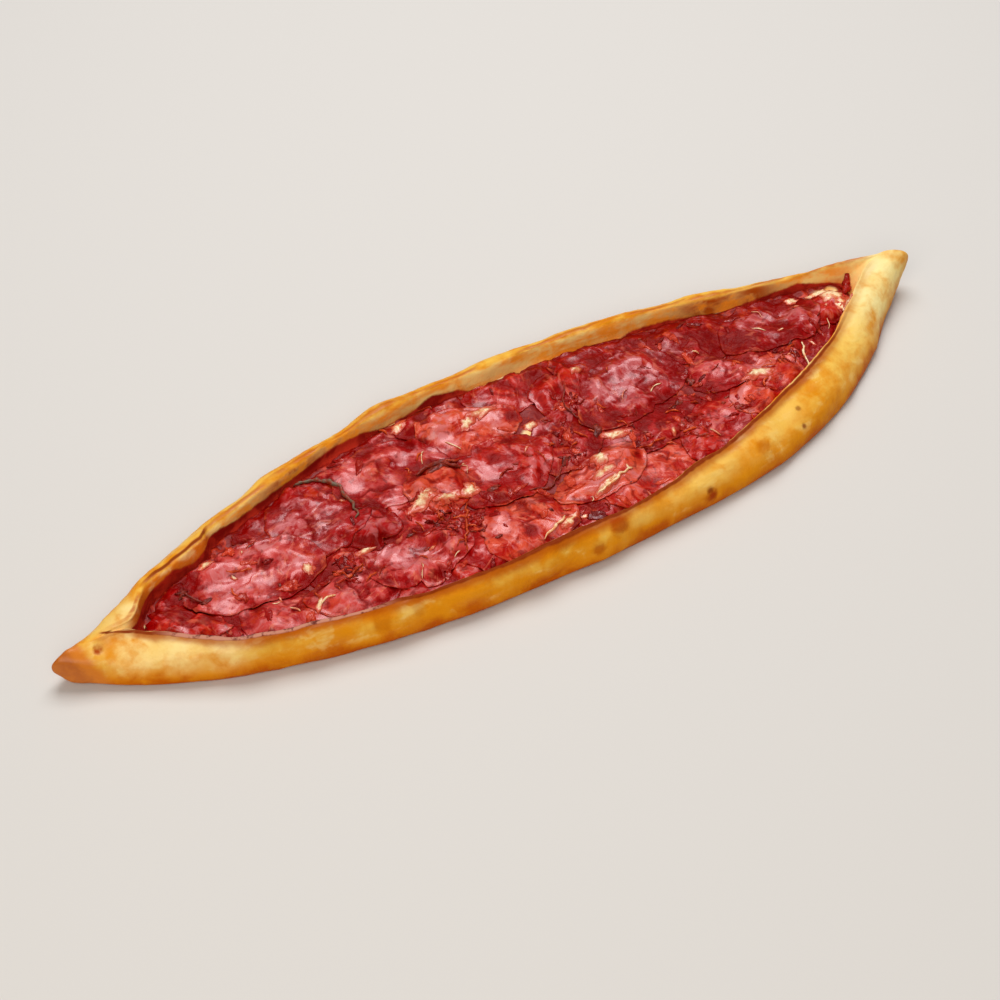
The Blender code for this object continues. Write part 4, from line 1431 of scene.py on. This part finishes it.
def clear_of(spots, places):
    """Only the places that are not close to any of the spots."""
    for x, y, random in places:
        if nearness(np.array([(x, y)]), spots)[0] < 0.3:
            yield x, y, random


def scatter(heap, places, sizes, height, seed, tones=(0.0, 1.0), slender=(0.25, 0.6)):
    """Flakes of random size, turn and tone at the places."""
    for k, (x, y, random) in enumerate(places):
        size = random.uniform(*sizes)
        wide = size * random.uniform(*slender)
        turn = random.uniform(0.0, 180.0)
        tall = height * random.uniform(0.6, 1.2)
        heap.add(flake((x, y), size, wide, turn, tall, seed + 5 * k, 4.0), random.uniform(*tones))


def scatter_strands(heap, places, lengths, radius, seed):
    """Short bent strands at the places."""
    for k, (x, y, random) in enumerate(places):
        length = random.uniform(*lengths)
        angle = random.uniform(0.0, 2.0 * math.pi)
        bend = random.uniform(-0.7, 0.7)
        path = [(x, y)]
        for _ in range(3):
            angle += bend
            x += length / 3.0 * math.cos(angle)
            y += length / 3.0 * math.sin(angle)
            path.append((x, y))
        made = strand(path, radius * random.uniform(0.6, 1.2), random.uniform(0.0, 0.4), seed + 5 * k)
        heap.add(made, random.uniform(0.0, 1.0), 1.0)


# %% Scraps of beef and pepper
SCRAP_HEAPS = (            # along, across, spread, count: where torn bits gathered
    (-48.0, -12.0, 12.0, 26),
    (-38.0, -20.0, 8.0, 12),
    (-100.0, -14.0, 9.0, 14),
    (24.0, 4.0, 8.0, 8),
    (19.0, -9.0, 7.0, 10),
    (52.0, -18.0, 11.0, 9),
    (74.0, -20.0, 12.0, 8),
    (99.0, -24.0, 10.0, 6),
    (93.0, -4.0, 9.0, 5),
    (140.0, -10.0, 9.0, 10),
    (35.0, 18.0, 8.0, 8),
)

SHRED = ((190.4, 7.6), (193.0, 11.0), (196.0, 15.2))   # baked onto the wall by the raised tip


def scrap_finish(name, dark, light):
    beef = Finish(name, Coat_Roughness=0.18, Specular_IOR_Level=0.2, Specular_Tint=(1.0, 0.6, 0.5, 1.0))
    where = beef.place()
    clouds = beef.noise(where, 0.003, 4.0, 0.6, 1.0)
    beef.start(dark, light, (clouds + beef.field("tone").swing(0.4)).ramp(0.3, 0.7))
    return beef.wear(
        Roughness=clouds * 0.2 + 0.25,
        Coat_Weight=clouds.ramp(0.45, 0.65) * 0.8,
        Normal=beef.bump(beef.noise(where, 0.0015, 3.0), 0.0006),
    )


deep_scraps = Gathering()
scatter(deep_scraps, clear_of(FAT_AND_HIGHLIGHT_PLACES, strewn(24, 51)), (2.0, 5.0), 0.35, 2000)
scatter(deep_scraps, clustered(fewer(SCRAP_HEAPS, 2), 47), (1.2, 3.2), 0.5, 2500)
deep_scraps.piece("scraps_deep", scrap_finish("scrap_deep", tint(104, 2, 2), tint(160, 18, 14)), "slice_deep")
red_scraps = Gathering()
red_scraps.add(strand(SHRED, 1.3, 0.0, 1400, 1.5, 9), 0.2)
scatter(red_scraps, clear_of(FAT_AND_HIGHLIGHT_PLACES + DARK_AND_SHADE_PLACES, strewn(60, 42)), (2.0, 5.0), 0.4, 3000)
scatter(red_scraps, clustered(SCRAP_HEAPS, 48), (1.0, 3.0), 0.5, 3500)
red_scraps.piece("scraps_red", scrap_finish("scrap_red", tint(146, 12, 6), tint(208, 66, 38)), "slice_red")

# %% Cheese between the slices
BLENDED = 0.8              # the tone of a patch that blends into red oil at its edge
BARE = 1.3                 # and of one that stays cream to the edge
BARE_FROM = 170.0          # as those by the raised tip do
CHEESE_PATCHES = (         # along, across, half length, half width, turn, height
    (-111.5, -3.5, 3.4, 2.6, 60.0, 0.7),
    (2.2, 35.5, 6.5, 3.4, 0.0, 0.7),
    (-8.0, 33.0, 5.0, 2.6, 20.0, 0.5),
    (15.6, 17.8, 3.8, 2.6, 20.0, 0.8),
    (-51.5, 3.0, 8.0, 3.4, 6.0, 0.8),
    (-41.0, -1.5, 6.5, 2.6, -10.0, 0.6),
    (-29.4, -2.2, 5.0, 3.4, 30.0, 1.0),
    (43.3, -9.2, 7.0, 2.6, -18.0, 1.0),
    (27.6, -18.8, 4.6, 3.6, 0.0, 0.6),
    (24.0, -27.0, 6.0, 3.0, 10.0, 0.5),
    (-86.3, -8.4, 4.4, 1.6, 0.0, 0.7),
    (52.3, 34.2, 3.6, 2.4, 40.0, 0.6),
    (119.5, -13.6, 8.5, 3.4, -18.0, 0.8),
    (165.6, 18.5, 3.6, 2.4, 0.0, 0.7),
    (182.0, 8.5, 5.6, 4.2, 30.0, 0.6),
    (182.0, 1.5, 5.0, 3.4, 70.0, 0.5),
    (177.5, 14.5, 5.0, 2.2, -20.0, 0.5),
    (-119.0, -26.0, 3.4, 1.6, 40.0, 0.6),
    (-147.5, 20.0, 4.0, 2.0, 10.0, 0.5),
    (-5.0, -42.0, 5.0, 2.0, 25.0, 0.5),
    (22.0, -34.5, 8.0, 2.2, 12.0, 0.6),
    (-36.0, 47.0, 5.0, 2.2, 10.0, 0.6),
)


def melted_patches():
    melted = Finish("melted_patch", Coat_Roughness=0.15)
    clouds = melted.noise(melted.place(), 0.003, 4.0, 0.6)
    inward = melted.field("middle") + clouds.swing(1.2) + (melted.field("tone") - BLENDED) * 0.6
    cream = melted.mix(tint(234, 154, 92), tint(250, 220, 170), clouds.ramp(0.36, 0.56))
    melted.start(tint(206, 74, 44), cream, inward.ramp(0.3, 1.0))
    return melted.wear(
        Roughness=clouds * 0.3 + 0.2,
        Coat_Weight=clouds * 0.8,
        Normal=melted.bump(clouds, 0.0008),
    )


MELTED = melted_patches()
patches = Gathering()
for k, (x, y, half_long, half_wide, turn, height) in enumerate(CHEESE_PATCHES):
    tone = BARE if x > BARE_FROM else BLENDED
    patches.add(flake((x, y), half_long, half_wide, turn, height, 700 + 5 * k), tone)
scatter(patches, clear_of(DARK_AND_SHADE_PLACES, strewn(30, 43)), (1.0, 2.4), 0.4, 4000, (0.2, 0.8))
patches.piece("cheese_patches", MELTED, "cheese")

# %% Strands
PALE_STRANDS = (           # places on the plan, radius, lift
    (((13.7, -36.5), (24.0, -35.0), (35.9, -31.8)), 0.6, 0.2),
    (((-20.0, -44.4), (-12.0, -42.5), (-5.2, -39.5)), 0.6, 0.2),
    (((150.4, -8.2), (147.0, -14.0), (143.0, -23.0)), 0.55, 0.8),
    (((-111.8, -26.8), (-119.0, -26.0)), 0.5, 0.3),
)
ORANGE_STRANDS = (
    (((-34.3, -6.8), (-42.0, -18.0), (-52.1, -33.9)), 0.6, 0.5),
    (((-103.7, -9.7), (-102.5, -15.0), (-101.8, -19.6), (-96.0, -17.0), (-90.4, -13.5)), 0.6, 0.5),
    (((45.2, -23.3), (52.0, -24.0), (59.8, -23.4)), 0.6, 0.3),
    (((-141.6, 12.3), (-138.0, 9.0), (-131.0, 8.0)), 0.6, 0.3),
)
STRAND_HEAPS = (
    (-48.0, -12.0, 16.0, 7),
    (-98.0, -14.0, 14.0, 4),
    (24.0, 2.0, 16.0, 6),
    (56.0, -20.0, 16.0, 4),
    (80.0, -20.0, 16.0, 3),
    (100.0, -12.0, 14.0, 3),
    (40.0, 22.0, 14.0, 4),
    (130.0, -8.0, 14.0, 4),
)
pale = Gathering()
for k, (path, radius, lift) in enumerate(PALE_STRANDS):
    pale.add(strand(path, radius, lift, 900 + 3 * k), 0.9, 1.0)
scatter_strands(pale, clear_of(DARK_AND_SHADE_PLACES, strewn(16, 44, 9.0)), (3.0, 8.0), 0.32, 5000)
pale.piece("pale_strands", MELTED, "cheese")
orange = Gathering()
for k, (path, radius, lift) in enumerate(ORANGE_STRANDS):
    orange.add(strand(path, radius, lift, 950 + 3 * k), 0.5, 1.0)
scatter_strands(orange, strewn(24, 45, 9.0), (3.0, 9.0), 0.45, 6000)
scatter_strands(orange, clustered(STRAND_HEAPS, 49), (3.0, 8.0), 0.45, 6500)
pepper_paste = scrap_finish("pepper_paste", tint(140, 20, 4), tint(212, 78, 26))
orange.piece("pepper_strands", pepper_paste, "slice_salmon")

# %% Charred bits and spice rind
DARK_BITS = (              # along, across, half length, half width, turn, height, tone
    (-162.9, 11.5, 3.0, 1.4, 40.0, 0.5, 0.0),
    (-156.4, 3.4, 3.0, 1.2, 10.0, 0.5, 0.0),
    (-20.3, -6.9, 3.2, 1.8, 0.0, 0.6, 0.2),
    (38.0, -2.1, 3.6, 2.2, 60.0, 0.7, 0.0),
    (15.5, -10.2, 3.0, 1.6, 30.0, 0.6, 0.0),
    (92.8, 1.4, 2.6, 1.4, 80.0, 0.6, 0.0),
    (79.5, -7.0, 2.6, 1.2, 0.0, 0.6, 0.1),
    (-35.9, -33.8, 1.8, 1.0, 0.0, 0.5, 0.1),
    (-39.0, -26.0, 2.0, 1.0, 70.0, 0.5, 0.1),
    (100.0, -26.0, 2.2, 1.0, 0.0, 0.5, 0.1),
    (-66.0, -11.0, 2.0, 1.0, 0.0, 0.5, 0.1),
    (-35.0, 14.0, 5.0, 2.2, 10.0, 0.4, 0.2),
)
RINDS = (                  # places on the plan, radius, tone: spice paste dried along a slice's edge
    (((-91.0, 43.0), (-82.6, 39.8), (-75.6, 32.9), (-76.0, 19.0), (-81.0, 6.6)), 1.0, 1.0),
    (((-45.0, 17.0), (-38.0, 19.0), (-32.0, 15.7), (-25.6, 11.1)), 1.2, 0.3),
    (((36.0, 8.0), (33.6, 14.0), (36.0, 22.0), (42.0, 29.0)), 0.6, 0.3),
    (((-8.0, -17.0), (2.0, -19.0), (12.0, -12.0)), 0.6, 0.3),
    (((-165.0, 14.0), (-161.0, 9.0), (-157.0, 4.0)), 0.6, 0.0),
)


def charred():
    dried = Finish("charred_paste", Coat_Roughness=0.25, Specular_IOR_Level=0.2)
    clouds = dried.noise(dried.place(), 0.003, 4.0, 0.6)
    tone = dried.field("tone")
    dried.start(tint(86, 16, 8), tint(152, 44, 22), (clouds + tone * 0.3).ramp(0.35, 0.7))
    dried.coat(tint(112, 96, 74), tone.ramp(0.7, 0.95) * clouds.ramp(0.35, 0.6))
    return dried.wear(
        Roughness=clouds * 0.3 + 0.3,
        Coat_Weight=clouds * 0.5,
        Normal=dried.bump(clouds, 0.0008),
    )


dark = Gathering()
for k, (x, y, half_long, half_wide, turn, height, tone) in enumerate(DARK_BITS):
    dark.add(flake((x, y), half_long, half_wide, turn, height, 1000 + 5 * k, 4.0), tone)
for k, (path, radius, tone) in enumerate(RINDS):
    dark.add(strand(path, radius, 0.2, 1100 + 5 * k, 0.8), tone, 1.0)
scatter(dark, clear_of(FAT_AND_HIGHLIGHT_PLACES, strewn(12, 46)), (0.7, 1.5), 0.3, 7000, (0.0, 0.6))
scatter(dark, clustered(fewer(SCRAP_HEAPS, 3), 50), (0.7, 1.8), 0.4, 7500, (0.0, 0.6))
dark.piece("charred_bits", charred(), "slice_deep")

# %% [markdown]
# ## Floor, light and camera
# A plain pale floor and soft studio light let the food speak. The main light is large and
# behind the pide, so that wet ridges catch it. A second one in front, and a little light from
# all round, open the shadows.

# %% Floor
floor_mesh = bpy.data.meshes.new("floor")
FLOOR_REACH = 3.0          # metres each way
corners = [(x * FLOOR_REACH, y * FLOOR_REACH, 0.0) for x, y in ((-1, -1), (1, -1), (1, 1), (-1, 1))]
floor_mesh.from_pydata(corners, [], [(0, 1, 2, 3)])
floor = show("floor", floor_mesh)
pale_floor = Finish("pale_floor", Roughness=0.7, Base_Color=(*tint(214, 208, 200), 1.0))
floor.data.materials.append(pale_floor.material)


# %% Light
def soft_light(name, place, size, power, colour):
    data = bpy.data.lights.new(name, "AREA")
    data.shape = "RECTANGLE"
    data.size, data.size_y = size
    data.energy = power
    data.color = colour
    lamp = show(name, data)
    lamp.location = place
    lamp.rotation_euler = (-Vector(place)).to_track_quat("-Z", "Y").to_euler()


soft_light("window", (0.35, 0.52, 1.3), (1.1, 0.9), 18.0, (0.94, 0.96, 1.0))
soft_light("fill", (-0.9, -0.9, 1.1), (1.4, 1.0), 15.0, (1.0, 0.96, 0.9))
world = bpy.data.worlds.new("studio_air")
world.use_nodes = True
world.node_tree.nodes["Background"].inputs["Color"].default_value = (0.95, 0.97, 1.0, 1.0)
world.node_tree.nodes["Background"].inputs["Strength"].default_value = 0.2
bpy.context.scene.world = world
bpy.context.scene.view_settings.view_transform = "Standard"

# %% Camera
LENS_DEGREES = 25.0
CAMERA_AT = (-0.40641, -0.58365, 0.69430)
CAMERA_AIM = (-0.01804, -0.00814, 0.0)
lens = bpy.data.cameras.new("camera")
lens.angle = math.radians(LENS_DEGREES)
camera = show("camera", lens)
camera.location = CAMERA_AT
camera.rotation_euler = (Vector(CAMERA_AIM) - camera.location).to_track_quat("-Z", "Y").to_euler()
bpy.context.scene.camera = camera
